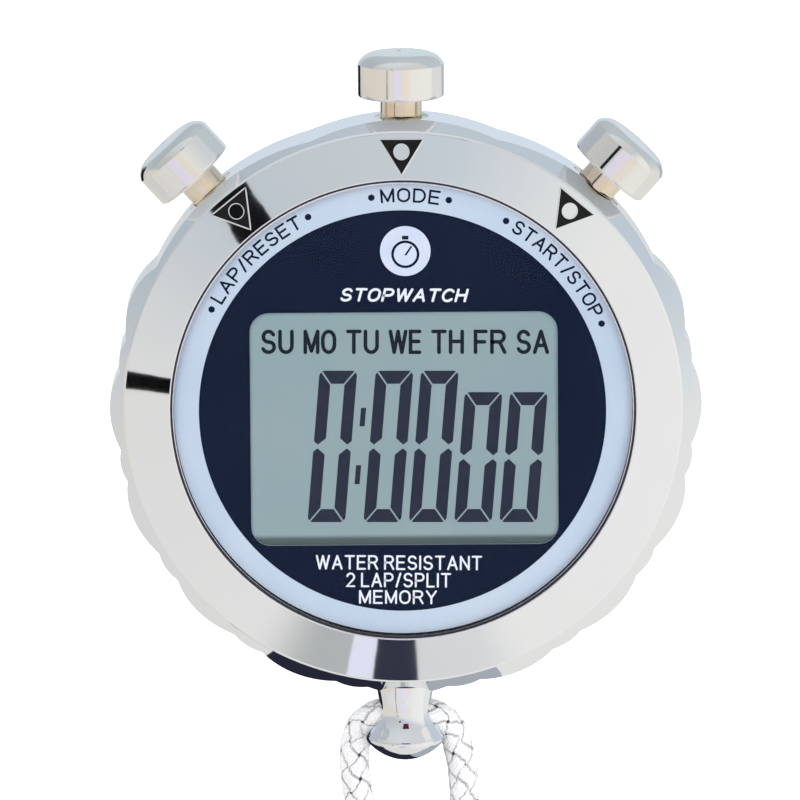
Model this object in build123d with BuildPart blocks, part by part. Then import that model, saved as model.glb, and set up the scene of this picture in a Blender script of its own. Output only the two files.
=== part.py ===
from build123d import *
import os
from math import cos, pi, radians, sin, sqrt, tan

# Hand-held digital stopwatch in a scalloped chrome case, lying on its back, with its neck cord.
# +Z comes out of the dial, +Y points to 12 o'clock (the mode button), +X to 3 o'clock.
# The origin is the middle of the back cover's outer face, which rests on the table.

# ---- Case, mm ----
REAR_RIM_Z = 0.45            # the case stands this far above the cover's outer face
COVER_R = 28.2
COVER_T = 1.4
COVER_GAP = 0.05             # radial gap between the cover and its recess
CAVITY_R = 25.6
CAVITY_TOP_Z = 13.98
LIP_R = 24.6                 # bore of the lip over the movement
LEDGE_Z = 14.2               # the crystal gasket sits on this ledge
CRYSTAL_BORE_R = 24.88
FACE_INNER_Z = 15.5          # the conical front face, from the crystal bore ...
FACE_OUTER_R = 29.9          # ... down to the rim bevel
FACE_OUTER_Z = 14.0
BEVEL_SLOPE = 1.935          # drop of the rim bevel for each mm outwards
RIM_FILLET = 0.4
BORE_FILLET = 0.12
ENVELOPE_R = 32.7            # the revolved blank, before the scallops are cut
REAR_EDGE_R = 28.75
REAR_TAPER = ((30.55, 5.5), (ENVELOPE_R, 6.8))

# ---- Scalloped rim ----
RIM_CENTRE = (0.3, -0.4)     # the scallops sit slightly off the case's axis
VALLEY_R = 30.83
WIDE_PEAK_R = 31.73
NARROW_PEAK_R = 31.18
BUTTON_PEAK_R = 31.33
WIDE_ANGLE = 16.0
NARROW_ANGLE = 6.5
RIM_START_ANGLE = 149.5      # anticlockwise end of the three broad lobes under the buttons
BUTTON_LOBES = ((30.5, 71.0), (71.0, 109.0), (109.0, RIM_START_ANGLE))
WIDE_COUNT = 11
VALLEY_FILLET = 0.45

# ---- Push buttons, distances measured out from the case's axis ----
BUTTONS = {"start_stop": 48.0, "mode": 90.0, "lap_reset": 132.0}
AXIS_Z = 9.0                 # height of the buttons' and the pendant's axes
SPOT_FACE_S = 30.7
SPOT_FACE_R = 3.05
BUSHING_R = 2.9
BUSHING_BORE_R = 2.28
BUSHING_INNER_S = 23.6
BUSHING_FLOOR_S = 24.4
BUSHING_OUTER_S = 30.65       # the bushing ends just below the spot face
STEM_R = 2.22
STEM_GROOVE_S = (31.05, 31.2)   # fine turned line near the foot of the stem
STEM_GROOVE_R = 2.08
STEM_SHOULDER_S = 28.0
PIN_R = 1.1
PIN_HOLE_R = 1.13
PIN_TIP_S = 22.3
CLIP_S = (23.15, 23.55)
CLIP_GROOVE_R = 0.8
CLIP_R = 1.9
CLIP_MOUTH = 1.2
SPIGOT_R = 1.5
SPIGOT_END_S = 35.3
CAP_R = 4.65
CAP_INNER_S = 32.95
CAP_OUTER_S = 37.9
CAP_CREASE_S = 36.5
CAP_CREASE_FILLET = 0.12
CAP_EDGE_W = 1.75             # width of the rounded edge between the crease and the crown
CAP_EDGE_MIDDLE = (37.32, 3.98)
CAP_SKIRT_FILLET = 0.35
CAP_CROWN = 0.18
ORING_S = 29.3
ORING_GROOVE_HALF = 0.4
ORING_GROOVE_R = 1.6
ORING_RING_R = 1.95
ORING_WIRE_R = 0.31
SPRING_RING_R = 1.7
SPRING_WIRE_R = 0.2
SPRING_PITCH = 0.75
SPRING_END_GAP = 0.02

# ---- Triangular markers in the front face ----
MARKER_ANGLES = (50.0, 90.0, 129.3)
MARKER_BASE_R = 29.15
MARKER_APEX_R = 25.45
MARKER_SIDE = 4.7
MARKER_DOT_R = 0.82
MARKER_DOT_S = 27.85
MARKER_DEPTH = 0.3
ENAMEL_RECESS = 0.08

# ---- Crystal, dial and display ----
CRYSTAL_R = 24.68
CRYSTAL_Z = (14.38, 15.38)
CRYSTAL_CHAMFER = 0.14
DIAL_R = 24.5
DIAL_Z = (14.0, 14.3)
WINDOW = (32.9, 25.3)
WINDOW_CENTRE = (0.1, -2.2)
WINDOW_CORNER = 2.1
GLASS = (35.4, 27.8)
GLASS_FIT = 0.2
DISPLAY_WALL = 0.8
POLARIZER_Z = (13.75, 13.95)
FRONT_GLASS_Z = (13.05, 13.75)
REAR_GLASS_Z = (12.35, 13.05)
REFLECTOR_Z = (12.15, 12.35)
REFLECTOR = (34.0, 22.6)
STRIP = (20.0, 1.6)
STRIP_Y = 12.6               # the two connector strips lie this far above and below the glass's middle

# ---- Movement ----
FRAME_R = 25.2
FRAME_PLATE_Z = (11.4, 12.1)
SKIRT_R = (18.9, 19.9)
SKIRT_Z = 4.0
CUSHION_MARGIN = 0.5          # the foam ring is wider than the skirt that presses on it
BUTTON_NOTCH_R = 3.3
PCB_R = 18.7
PCB_Z = (9.6, 10.6)
BOSS_PITCH_R = 17.2
BOSS_R = 1.2
BOSS_ANGLES = (0, 180, 270)
MODULE_SCREW_R = 0.5
BATTERY_R = 10.0
BATTERY_T = 3.2
BATTERY_Z = 4.6
BATTERY_Y = 4.0
CHIP = (3.4, 1.2)            # radius and height of the resin blob over the chip
CHIP_PLACE = (-9.0, -9.5)
QUARTZ = (5.5, -12.0, 1.0, 6.0)   # x, y, radius and length of the quartz crystal's can
BATTERY_STEP = (1.2, 0.4)    # the narrower positive or negative end: set-back and height
STRAP = (23.6, 5.0, 0.4)     # length, width and thickness of the strap under the cell
CONTACT = (9.0, 3.0, 0.3)    # length, width and thickness of the spring over the cell
MODULE_SCREW_HEAD = (1.0, 0.6)    # radius and height
SCREW_SLOT_W = 0.3
BUZZER_PLACE = (0.0, -10.5)
BUZZER_PLATE = (7.0, 0.15)   # radius and thickness of the brass plate
BUZZER_CERAMIC = (5.0, 0.12)
BUZZER_SPRING_X = 2.2
BUZZER_SPRING_Y = -11.0
BUZZER_SPRING_R = 0.8
BUZZER_SPRING_WIRE_R = 0.15
BUZZER_SPRING_PITCH = 1.1
CONTACT_BLADE = (3.2, 4.0, 0.2)   # height, width and thickness of a switch contact's blade
BLADE_OFFSET = 0.75          # from the skirt's outer face to the blade
FOOT_REACH = 1.1             # how far the blade's foot lies over the board
SLOT_FOR_FOOT = (0.7, 5.0)

# ---- Back cover fixings ----
COVER_SCREW_PITCH_R = 26.95
COVER_SCREW_ANGLES = (45, 135, 225, 315)
COVER_SCREW_R = 0.6
COVER_SCREW_HEAD_R = 1.1
COVER_SCREW_SINK = 0.1
COVER_SCREW_HEAD_T = 0.6
COVER_SCREW_END_Z = 4.2
GASKET_R = (25.65, 26.15)
GASKET_TOP_Z = 1.8
COVER_EDGE_FILLET = 0.35
FIT = 0.05                   # loose fit between parts, on the radius

# ---- Pendant at 6 o'clock and the neck cord ----
PENDANT_SEAT_S = 31.0
PENDANT_SPIGOT_R = 1.25
PENDANT_SPIGOT_S = 24.7
PENDANT_NECK_R = 3.08
PENDANT_WAIST = ((32.6, 2.88), (34.2, 2.76), (35.2, 3.06), (36.1, 3.62))
PENDANT_FLARE = (37.1, 4.3)
PENDANT_DOME = (38.72, 2.45)
PENDANT_EDGE_FILLET = 0.45
PENDANT_NUT = (2.2, 0.8)     # radius over the corners and thickness
PENDANT_TIP_S = 39.4
CORD_HOLE_S = 34.3
CORD_HOLE_Z = 8.6             # a little behind the pendant's axis
CORD_HOLE_R = 1.75
CORD_D = 3.3
BEND_SHARE = 0.45            # how much of the shorter run a bend may take up
# Route points, measured from the middle of the pendant's cross hole outwards.
LEFT_ARM = (
    (0.0, -34.3, 8.6),
    (-2.6, -34.3, 8.4),
    (-4.75, -35.75, 7.1),
    (-5.65, -38.8, 6.6),
    (-5.3, -43.2, 5.9),
    (-4.2, -49.0, 4.4),
    (-2.1, -55.0, 2.6),
    (0.2, -60.5, 1.68),
    (0.85, -66.0, 1.68),
)
RIGHT_ARM = (
    (0.0, -34.3, 8.6),
    (2.6, -34.3, 8.4),
    (4.75, -35.75, 7.1),
    (5.85, -38.7, 6.8),
    (6.4, -43.2, 6.7),
    (6.2, -49.0, 6.4),
    (4.4, -55.0, 5.6),
    (2.0, -60.8, 5.12),
    (0.85, -66.2, 5.05),
)
COIL_CENTRE = (-22.4, -71.0)
COIL_R = (10.6, 25.0)
COIL_H = 6.65
FERRULE = (9.0, 7.6, 4.2)    # length, width and height of the crimped sleeve
FERRULE_R = 8.3              # distance of its middle from the coil's centre
FERRULE_CORNER = 0.8
FERRULE_FILLET = 1.6
COIL_FILLET = 1.5
TIE_W = 4.0
TIE_T = 0.5
TIE_CORNER = 1.8
TIE_CLEAR = 0.2              # from the coil to the strap, at each end

os.makedirs("parts", exist_ok=True)


def save(piece, name):
    """Label a finished piece and write it as a STEP file of the same name."""
    piece.part.label = name
    export_step(piece.part, f"parts/{name}.step")


def polar(radius, angle):
    return (radius * cos(radians(angle)), radius * sin(radians(angle)))


def axial_plane(angle):
    """A plane through the axis at this clock angle: local x runs outwards, local y is +Z."""
    return Plane(
        origin=(0, 0, AXIS_Z),
        x_dir=(cos(radians(angle)), sin(radians(angle)), 0),
        z_dir=(sin(radians(angle)), -cos(radians(angle)), 0),
    )


def radial_axis(angle):
    return Axis((0, 0, AXIS_Z), (cos(radians(angle)), sin(radians(angle)), 0))


def rim_point(radius, angle):
    """A plane position round the middle of the scalloped rim."""
    x, y = polar(radius, angle)
    return (RIM_CENTRE[0] + x, RIM_CENTRE[1] + y)


def facing_plane(angle, distance):
    """A plane square to the radial axis, this far out, with its normal pointing outwards."""
    outwards = (cos(radians(angle)), sin(radians(angle)), 0)
    return Plane(origin=(*polar(distance, angle), AXIS_Z), x_dir=(0, 0, 1), z_dir=outwards)


def circle_near(part, point):
    """The part's circular edge that passes nearest to a point."""
    return part.edges().filter_by(GeomType.CIRCLE).sort_by_distance(point)[0]


def ring(inner, outer, low, high):
    """A flat ring about the case's axis; outside any builder."""
    with BuildPart() as made:
        with BuildSketch(Plane.XY.offset(low)):
            Circle(outer)
            Circle(inner, mode=Mode.SUBTRACT)
        extrude(amount=high - low)
    return made


def block(centre, size, low, high):
    """A rectangular plate."""
    with BuildPart() as made:
        with BuildSketch(Plane.XY.offset(low)):
            with Locations(centre):
                Rectangle(*size)
        extrude(amount=high - low)
    return made


# ---- Case body: one chromed die casting ----
lobes = [(start, end, BUTTON_PEAK_R) for start, end in BUTTON_LOBES]
angle = RIM_START_ANGLE
for index in range(2 * WIDE_COUNT - 1):
    wide = index % 2 == 0
    width = WIDE_ANGLE if wide else NARROW_ANGLE
    lobes.append((angle, angle + width, WIDE_PEAK_R if wide else NARROW_PEAK_R))
    angle += width

# The front face is a shallow cone; a band of it, cut into triangles, is sunk for the enamel.
face_slope = (FACE_INNER_Z - FACE_OUTER_Z) / (FACE_OUTER_R - CRYSTAL_BORE_R)


def face_z(radius):
    return FACE_OUTER_Z + (FACE_OUTER_R - radius) * face_slope


def marker_solid(depth_low, depth_high):
    """The three triangles with their round islands, between two depths under the front face."""
    with BuildPart() as made:
        with BuildSketch(Plane.XZ):
            with BuildLine():
                Polyline(
                    (CRYSTAL_BORE_R + 0.1, face_z(CRYSTAL_BORE_R + 0.1) - depth_low),
                    (FACE_OUTER_R, FACE_OUTER_Z - depth_low),
                    (FACE_OUTER_R, FACE_OUTER_Z - depth_high),
                    (CRYSTAL_BORE_R + 0.1, face_z(CRYSTAL_BORE_R + 0.1) - depth_high),
                    close=True,
                )
            make_face()
        revolve(axis=Axis.Z)
        with BuildSketch(Plane.XY.offset(FACE_OUTER_Z - 2)):
            for direction in MARKER_ANGLES:
                with Locations(Location((0, 0, 0), (0, 0, direction))):
                    Polygon(
                        (MARKER_APEX_R, 0),
                        (MARKER_BASE_R, MARKER_SIDE / 2),
                        (MARKER_BASE_R, -MARKER_SIDE / 2),
                        align=None,
                    )
                with Locations(polar(MARKER_DOT_S, direction)):
                    Circle(MARKER_DOT_R, mode=Mode.SUBTRACT)
        extrude(amount=6, mode=Mode.INTERSECT)
    return made


marker_pockets = marker_solid(MARKER_DEPTH, -0.6)
bevel_foot_z = FACE_OUTER_Z - (ENVELOPE_R - FACE_OUTER_R) * BEVEL_SLOPE

with BuildPart() as case_body:
    with BuildSketch(Plane.XZ):
        with BuildLine():
            Polyline(
                (CAVITY_R, COVER_T),
                (COVER_R + COVER_GAP, COVER_T),
                (COVER_R + COVER_GAP, REAR_RIM_Z),
                (REAR_EDGE_R, REAR_RIM_Z),
                *REAR_TAPER,
                (ENVELOPE_R, bevel_foot_z),
                (FACE_OUTER_R, FACE_OUTER_Z),
                (CRYSTAL_BORE_R, FACE_INNER_Z),
                (CRYSTAL_BORE_R, LEDGE_Z),
                (LIP_R, LEDGE_Z),
                (LIP_R, CAVITY_TOP_Z),
                (CAVITY_R, CAVITY_TOP_Z),
                close=True,
            )
        make_face()
    revolve(axis=Axis.Z)
    fillet(circle_near(case_body, (FACE_OUTER_R, 0, FACE_OUTER_Z)), RIM_FILLET)
    fillet(circle_near(case_body, (CRYSTAL_BORE_R, 0, FACE_INNER_Z)), BORE_FILLET)
    with BuildSketch() as scallops:
        with BuildLine():
            for start, end, peak in lobes:
                middle = rim_point(peak, (start + end) / 2)
                ThreePointArc(rim_point(VALLEY_R, start), middle, rim_point(VALLEY_R, end))
        make_face()
        fillet(scallops.vertices(), VALLEY_FILLET)
    extrude(amount=FACE_INNER_Z + 1, mode=Mode.INTERSECT)
    # step for the back gasket
    with BuildSketch(Plane.XY.offset(COVER_T)):
        Circle(GASKET_R[1] + 0.05)
        Circle(CAVITY_R - 0.1, mode=Mode.SUBTRACT)
    extrude(amount=GASKET_TOP_Z - COVER_T, mode=Mode.SUBTRACT)
    # spot faces and bushing bores
    for direction in BUTTONS.values():
        with BuildSketch(facing_plane(direction, SPOT_FACE_S)):
            Circle(SPOT_FACE_R)
        extrude(amount=4, mode=Mode.SUBTRACT)
        with BuildSketch(facing_plane(direction, CAVITY_R - 1)):
            Circle(BUSHING_R)
        extrude(amount=8, mode=Mode.SUBTRACT)
    # seat and bore of the pendant
    with BuildSketch(facing_plane(270, PENDANT_SEAT_S)):
        Circle(PENDANT_NECK_R + 0.1)
    extrude(amount=3, mode=Mode.SUBTRACT)
    with BuildSketch(facing_plane(270, CAVITY_R - 1)):
        Circle(PENDANT_SPIGOT_R)
    extrude(amount=8, mode=Mode.SUBTRACT)
    # threaded holes for the cover screws
    with BuildSketch(Plane.XY.offset(COVER_T)):
        for direction in COVER_SCREW_ANGLES:
            with Locations(polar(COVER_SCREW_PITCH_R, direction)):
                Circle(COVER_SCREW_R)
    extrude(amount=COVER_SCREW_END_Z - COVER_T, mode=Mode.SUBTRACT)
    add(marker_pockets.part, mode=Mode.SUBTRACT)
save(case_body, "case_body")

save(marker_solid(MARKER_DEPTH, ENAMEL_RECESS), "marker_inlays")

# ---- Crystal and its gasket ----
with BuildPart() as crystal:
    with BuildSketch(Plane.XY.offset(CRYSTAL_Z[0])):
        Circle(CRYSTAL_R)
    extrude(amount=CRYSTAL_Z[1] - CRYSTAL_Z[0])
    chamfer(crystal.edges().group_by(Axis.Z)[-1], CRYSTAL_CHAMFER)
save(crystal, "crystal")

with BuildPart() as crystal_gasket:
    with BuildSketch(Plane.XZ):
        with BuildLine():
            Polyline(
                (LIP_R, LEDGE_Z),
                (CRYSTAL_BORE_R, LEDGE_Z),
                (CRYSTAL_BORE_R, CRYSTAL_Z[1] - 0.12),
                (CRYSTAL_R, CRYSTAL_Z[1] - 0.12),
                (CRYSTAL_R, CRYSTAL_Z[0]),
                (LIP_R, CRYSTAL_Z[0]),
                close=True,
            )
        make_face()
    revolve(axis=Axis.Z)
save(crystal_gasket, "crystal_gasket")

# ---- Dial and liquid crystal display ----
with BuildPart() as dial_plate:
    with BuildSketch(Plane.XY.offset(DIAL_Z[0])):
        Circle(DIAL_R)
        with Locations(WINDOW_CENTRE):
            RectangleRounded(*WINDOW, WINDOW_CORNER, mode=Mode.SUBTRACT)
    extrude(amount=DIAL_Z[1] - DIAL_Z[0])
save(dial_plate, "dial_plate")

opening = (GLASS[0] + GLASS_FIT, GLASS[1] + GLASS_FIT)
outside = (opening[0] + 2 * DISPLAY_WALL, opening[1] + 2 * DISPLAY_WALL)
with BuildPart() as lcd_frame:
    with BuildSketch(Plane.XY.offset(FRAME_PLATE_Z[1])):
        with Locations(WINDOW_CENTRE):
            RectangleRounded(*outside, 1.6)
            Rectangle(*opening, mode=Mode.SUBTRACT)
    extrude(amount=CAVITY_TOP_Z - FRAME_PLATE_Z[1])
save(lcd_frame, "lcd_frame")

save(block(WINDOW_CENTRE, (GLASS[0] - 0.4, GLASS[1] - 0.4), *POLARIZER_Z), "lcd_polarizer")
save(block(WINDOW_CENTRE, GLASS, *FRONT_GLASS_Z), "lcd_front_glass")
save(block(WINDOW_CENTRE, GLASS, *REAR_GLASS_Z), "lcd_rear_glass")
save(block(WINDOW_CENTRE, REFLECTOR, *REFLECTOR_Z), "lcd_reflector")

with BuildPart() as lcd_connector_strips:
    with BuildSketch(Plane.XY.offset(PCB_Z[1])):
        with Locations(WINDOW_CENTRE):
            with Locations((0, STRIP_Y), (0, -STRIP_Y)):
                Rectangle(*STRIP)
    extrude(amount=REAR_GLASS_Z[0] - PCB_Z[1])
save(lcd_connector_strips, "lcd_connector_strips")

# ---- Movement: frame, board and what the board carries ----
with BuildPart() as module_frame:
    with BuildSketch(Plane.XY.offset(FRAME_PLATE_Z[0])):
        Circle(FRAME_R)
        with Locations(WINDOW_CENTRE):
            with Locations((0, STRIP_Y), (0, -STRIP_Y)):
                Rectangle(STRIP[0] + 0.4, STRIP[1] + 0.4, mode=Mode.SUBTRACT)
    extrude(amount=FRAME_PLATE_Z[1] - FRAME_PLATE_Z[0])
    with BuildSketch(Plane.XY.offset(SKIRT_Z)):
        Circle(SKIRT_R[1])
        Circle(SKIRT_R[0], mode=Mode.SUBTRACT)
    extrude(amount=FRAME_PLATE_Z[0] - SKIRT_Z)
    with BuildSketch(Plane.XY.offset(PCB_Z[1])):
        for direction in BOSS_ANGLES:
            with Locations(polar(BOSS_PITCH_R, direction)):
                Circle(BOSS_R)
    extrude(amount=FRAME_PLATE_Z[0] - PCB_Z[1])
    with BuildSketch(Plane.XY.offset(PCB_Z[1])):
        for direction in BOSS_ANGLES:
            with Locations(polar(BOSS_PITCH_R, direction)):
                Circle(MODULE_SCREW_R)
    extrude(amount=FRAME_PLATE_Z[0] - PCB_Z[1], mode=Mode.SUBTRACT)
    # room for the buttons' bushings and for the feet of the switch contacts
    for direction in BUTTONS.values():
        with BuildSketch(facing_plane(direction, SKIRT_R[1] + 0.6)):
            Circle(BUTTON_NOTCH_R)
        extrude(amount=8, mode=Mode.SUBTRACT)
        with BuildSketch(facing_plane(direction, PCB_R - 0.5)):
            with Locations((PCB_Z[1] - AXIS_Z, 0)):
                Rectangle(*SLOT_FOR_FOOT)
        extrude(amount=SKIRT_R[1] - PCB_R + 1.0, mode=Mode.SUBTRACT)
save(module_frame, "module_frame")

with BuildPart() as circuit_board:
    with BuildSketch(Plane.XY.offset(PCB_Z[0])):
        Circle(PCB_R)
        for direction in BOSS_ANGLES:
            with Locations(polar(BOSS_PITCH_R, direction)):
                Circle(MODULE_SCREW_R + FIT, mode=Mode.SUBTRACT)
    extrude(amount=PCB_Z[1] - PCB_Z[0])
save(circuit_board, "circuit_board")

head_r, head_t = MODULE_SCREW_HEAD
with BuildPart() as module_screws:
    for direction in BOSS_ANGLES:
        x, y = polar(BOSS_PITCH_R, direction)
        with BuildSketch(Plane.XY.offset(PCB_Z[0] - head_t)):
            with Locations((x, y)):
                Circle(head_r)
                Rectangle(2 * head_r + 1, SCREW_SLOT_W, mode=Mode.SUBTRACT)
        extrude(amount=head_t / 2)
        with BuildSketch(Plane.XY.offset(PCB_Z[0] - head_t / 2)):
            with Locations((x, y)):
                Circle(head_r)
        extrude(amount=head_t / 2)
        with BuildSketch(Plane.XY.offset(PCB_Z[0])):
            with Locations((x, y)):
                Circle(MODULE_SCREW_R)
        extrude(amount=FRAME_PLATE_Z[0] - PCB_Z[0] - FIT)
save(module_screws, "module_screws")

with BuildPart() as timing_chip:
    with BuildSketch(Plane.XY.offset(PCB_Z[0] - CHIP[1])):
        with Locations(CHIP_PLACE):
            Circle(CHIP[0])
    extrude(amount=CHIP[1])
    fillet(timing_chip.edges().group_by(Axis.Z)[0], CHIP[1] * 0.8)
save(timing_chip, "timing_chip")

quartz_x, quartz_y, quartz_r, quartz_length = QUARTZ
with BuildPart() as quartz_crystal:
    with BuildSketch(Plane((quartz_x, quartz_y, PCB_Z[0] - quartz_r), x_dir=(0, 1, 0), z_dir=(1, 0, 0))):
        Circle(quartz_r)
    extrude(amount=quartz_length)
    fillet(quartz_crystal.edges(), 0.25)
save(quartz_crystal, "quartz_crystal")

set_back, step_t = BATTERY_STEP
with BuildPart() as battery:
    with BuildSketch(Plane.XY.offset(BATTERY_Z)):
        with Locations((0, BATTERY_Y)):
            Circle(BATTERY_R)
    extrude(amount=BATTERY_T - step_t)
    fillet(battery.edges().group_by(Axis.Z)[0], step_t)
    with BuildSketch(Plane.XY.offset(BATTERY_Z + BATTERY_T - step_t)):
        with Locations((0, BATTERY_Y)):
            Circle(BATTERY_R - set_back)
    extrude(amount=step_t)
save(battery, "battery")

strap_length, strap_width, strap_t = STRAP
leg_x = (strap_length - strap_t) / 2
with BuildPart() as battery_strap:
    with BuildSketch(Plane.XY.offset(BATTERY_Z - strap_t)):
        with Locations((0, BATTERY_Y)):
            Rectangle(strap_length, strap_width)
    extrude(amount=strap_t)
    with BuildSketch(Plane.XY.offset(BATTERY_Z - strap_t)):
        with Locations((leg_x, BATTERY_Y), (-leg_x, BATTERY_Y)):
            Rectangle(strap_t, strap_width)
    extrude(amount=PCB_Z[0] - BATTERY_Z + strap_t)
save(battery_strap, "battery_strap")

contact_length, contact_width, contact_t = CONTACT
with BuildPart() as battery_contact:
    with BuildSketch(Plane.XY.offset(BATTERY_Z + BATTERY_T)):
        with Locations((0, BATTERY_Y)):
            Rectangle(contact_length, contact_width)
    extrude(amount=contact_t)
    with BuildSketch(Plane.XY.offset(BATTERY_Z + BATTERY_T)):
        with Locations(((contact_length - contact_t) / 2, BATTERY_Y)):
            Rectangle(contact_t, contact_width)
    extrude(amount=PCB_Z[0] - BATTERY_Z - BATTERY_T)
save(battery_contact, "battery_contact")

with BuildPart() as buzzer_disc:
    with BuildSketch(Plane.XY.offset(COVER_T)):
        with Locations(BUZZER_PLACE):
            Circle(BUZZER_PLATE[0])
    extrude(amount=BUZZER_PLATE[1])
    with BuildSketch(Plane.XY.offset(COVER_T + BUZZER_PLATE[1])):
        with Locations(BUZZER_PLACE):
            Circle(BUZZER_CERAMIC[0])
    extrude(amount=BUZZER_CERAMIC[1])
save(buzzer_disc, "buzzer_disc")

spring_end = BUZZER_SPRING_WIRE_R + SPRING_END_GAP
spring_low = COVER_T + BUZZER_PLATE[1] + BUZZER_CERAMIC[1] + spring_end
with BuildPart() as buzzer_springs:
    for x in (-BUZZER_SPRING_X, BUZZER_SPRING_X):
        coil = Helix(
            pitch=BUZZER_SPRING_PITCH,
            height=PCB_Z[0] - spring_low - spring_end,
            radius=BUZZER_SPRING_R,
            center=(x, BUZZER_SPRING_Y, spring_low),
        )
        with BuildSketch(Plane(origin=coil @ 0, z_dir=coil % 0)):
            Circle(BUZZER_SPRING_WIRE_R)
        sweep(path=coil, is_frenet=True)
save(buzzer_springs, "buzzer_springs")

cushion = ring(SKIRT_R[0] - CUSHION_MARGIN, SKIRT_R[1] + CUSHION_MARGIN, COVER_T, SKIRT_Z)
save(cushion, "module_cushion")

blade_height, blade_width, blade_t = CONTACT_BLADE
blade_s = SKIRT_R[1] + BLADE_OFFSET
with BuildPart() as switch_contacts:
    for direction in BUTTONS.values():
        with BuildSketch(facing_plane(direction, blade_s)):
            with Locations((blade_t, 0)):
                Rectangle(blade_height, blade_width)
        extrude(amount=blade_t)
        with BuildSketch(facing_plane(direction, PCB_R - FOOT_REACH)):
            with Locations((PCB_Z[1] - AXIS_Z + blade_t / 2, 0)):
                Rectangle(blade_t, blade_width)
        extrude(amount=blade_s + blade_t - PCB_R + FOOT_REACH)
save(switch_contacts, "switch_contacts")

# ---- Back cover, its gasket and screws ----
head_top_z = COVER_SCREW_SINK + COVER_SCREW_HEAD_T
with BuildPart() as back_cover:
    with BuildSketch():
        Circle(COVER_R)
    extrude(amount=COVER_T)
    fillet(back_cover.edges().group_by(Axis.Z)[0], COVER_EDGE_FILLET)
    with BuildSketch():
        for direction in COVER_SCREW_ANGLES:
            with Locations(polar(COVER_SCREW_PITCH_R, direction)):
                Circle(COVER_SCREW_HEAD_R + FIT)
    extrude(amount=head_top_z, mode=Mode.SUBTRACT)
    with BuildSketch():
        for direction in COVER_SCREW_ANGLES:
            with Locations(polar(COVER_SCREW_PITCH_R, direction)):
                Circle(COVER_SCREW_R + FIT)
    extrude(amount=COVER_T, mode=Mode.SUBTRACT)
save(back_cover, "back_cover")

save(ring(*GASKET_R, COVER_T, GASKET_TOP_Z), "back_gasket")

with BuildPart() as cover_screws:
    for direction in COVER_SCREW_ANGLES:
        x, y = polar(COVER_SCREW_PITCH_R, direction)
        with BuildSketch(Plane.XY.offset(COVER_SCREW_SINK)):
            with Locations((x, y)):
                Circle(COVER_SCREW_HEAD_R)
                Rectangle(2 * COVER_SCREW_HEAD_R + 1, SCREW_SLOT_W, mode=Mode.SUBTRACT)
        extrude(amount=COVER_SCREW_HEAD_T / 2)
        with BuildSketch(Plane.XY.offset(COVER_SCREW_SINK + COVER_SCREW_HEAD_T / 2)):
            with Locations((x, y)):
                Circle(COVER_SCREW_HEAD_R)
        extrude(amount=COVER_SCREW_HEAD_T / 2)
        with BuildSketch(Plane.XY.offset(head_top_z)):
            with Locations((x, y)):
                Circle(COVER_SCREW_R)
        extrude(amount=COVER_SCREW_END_Z - head_top_z)
save(cover_screws, "cover_screws")

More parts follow.
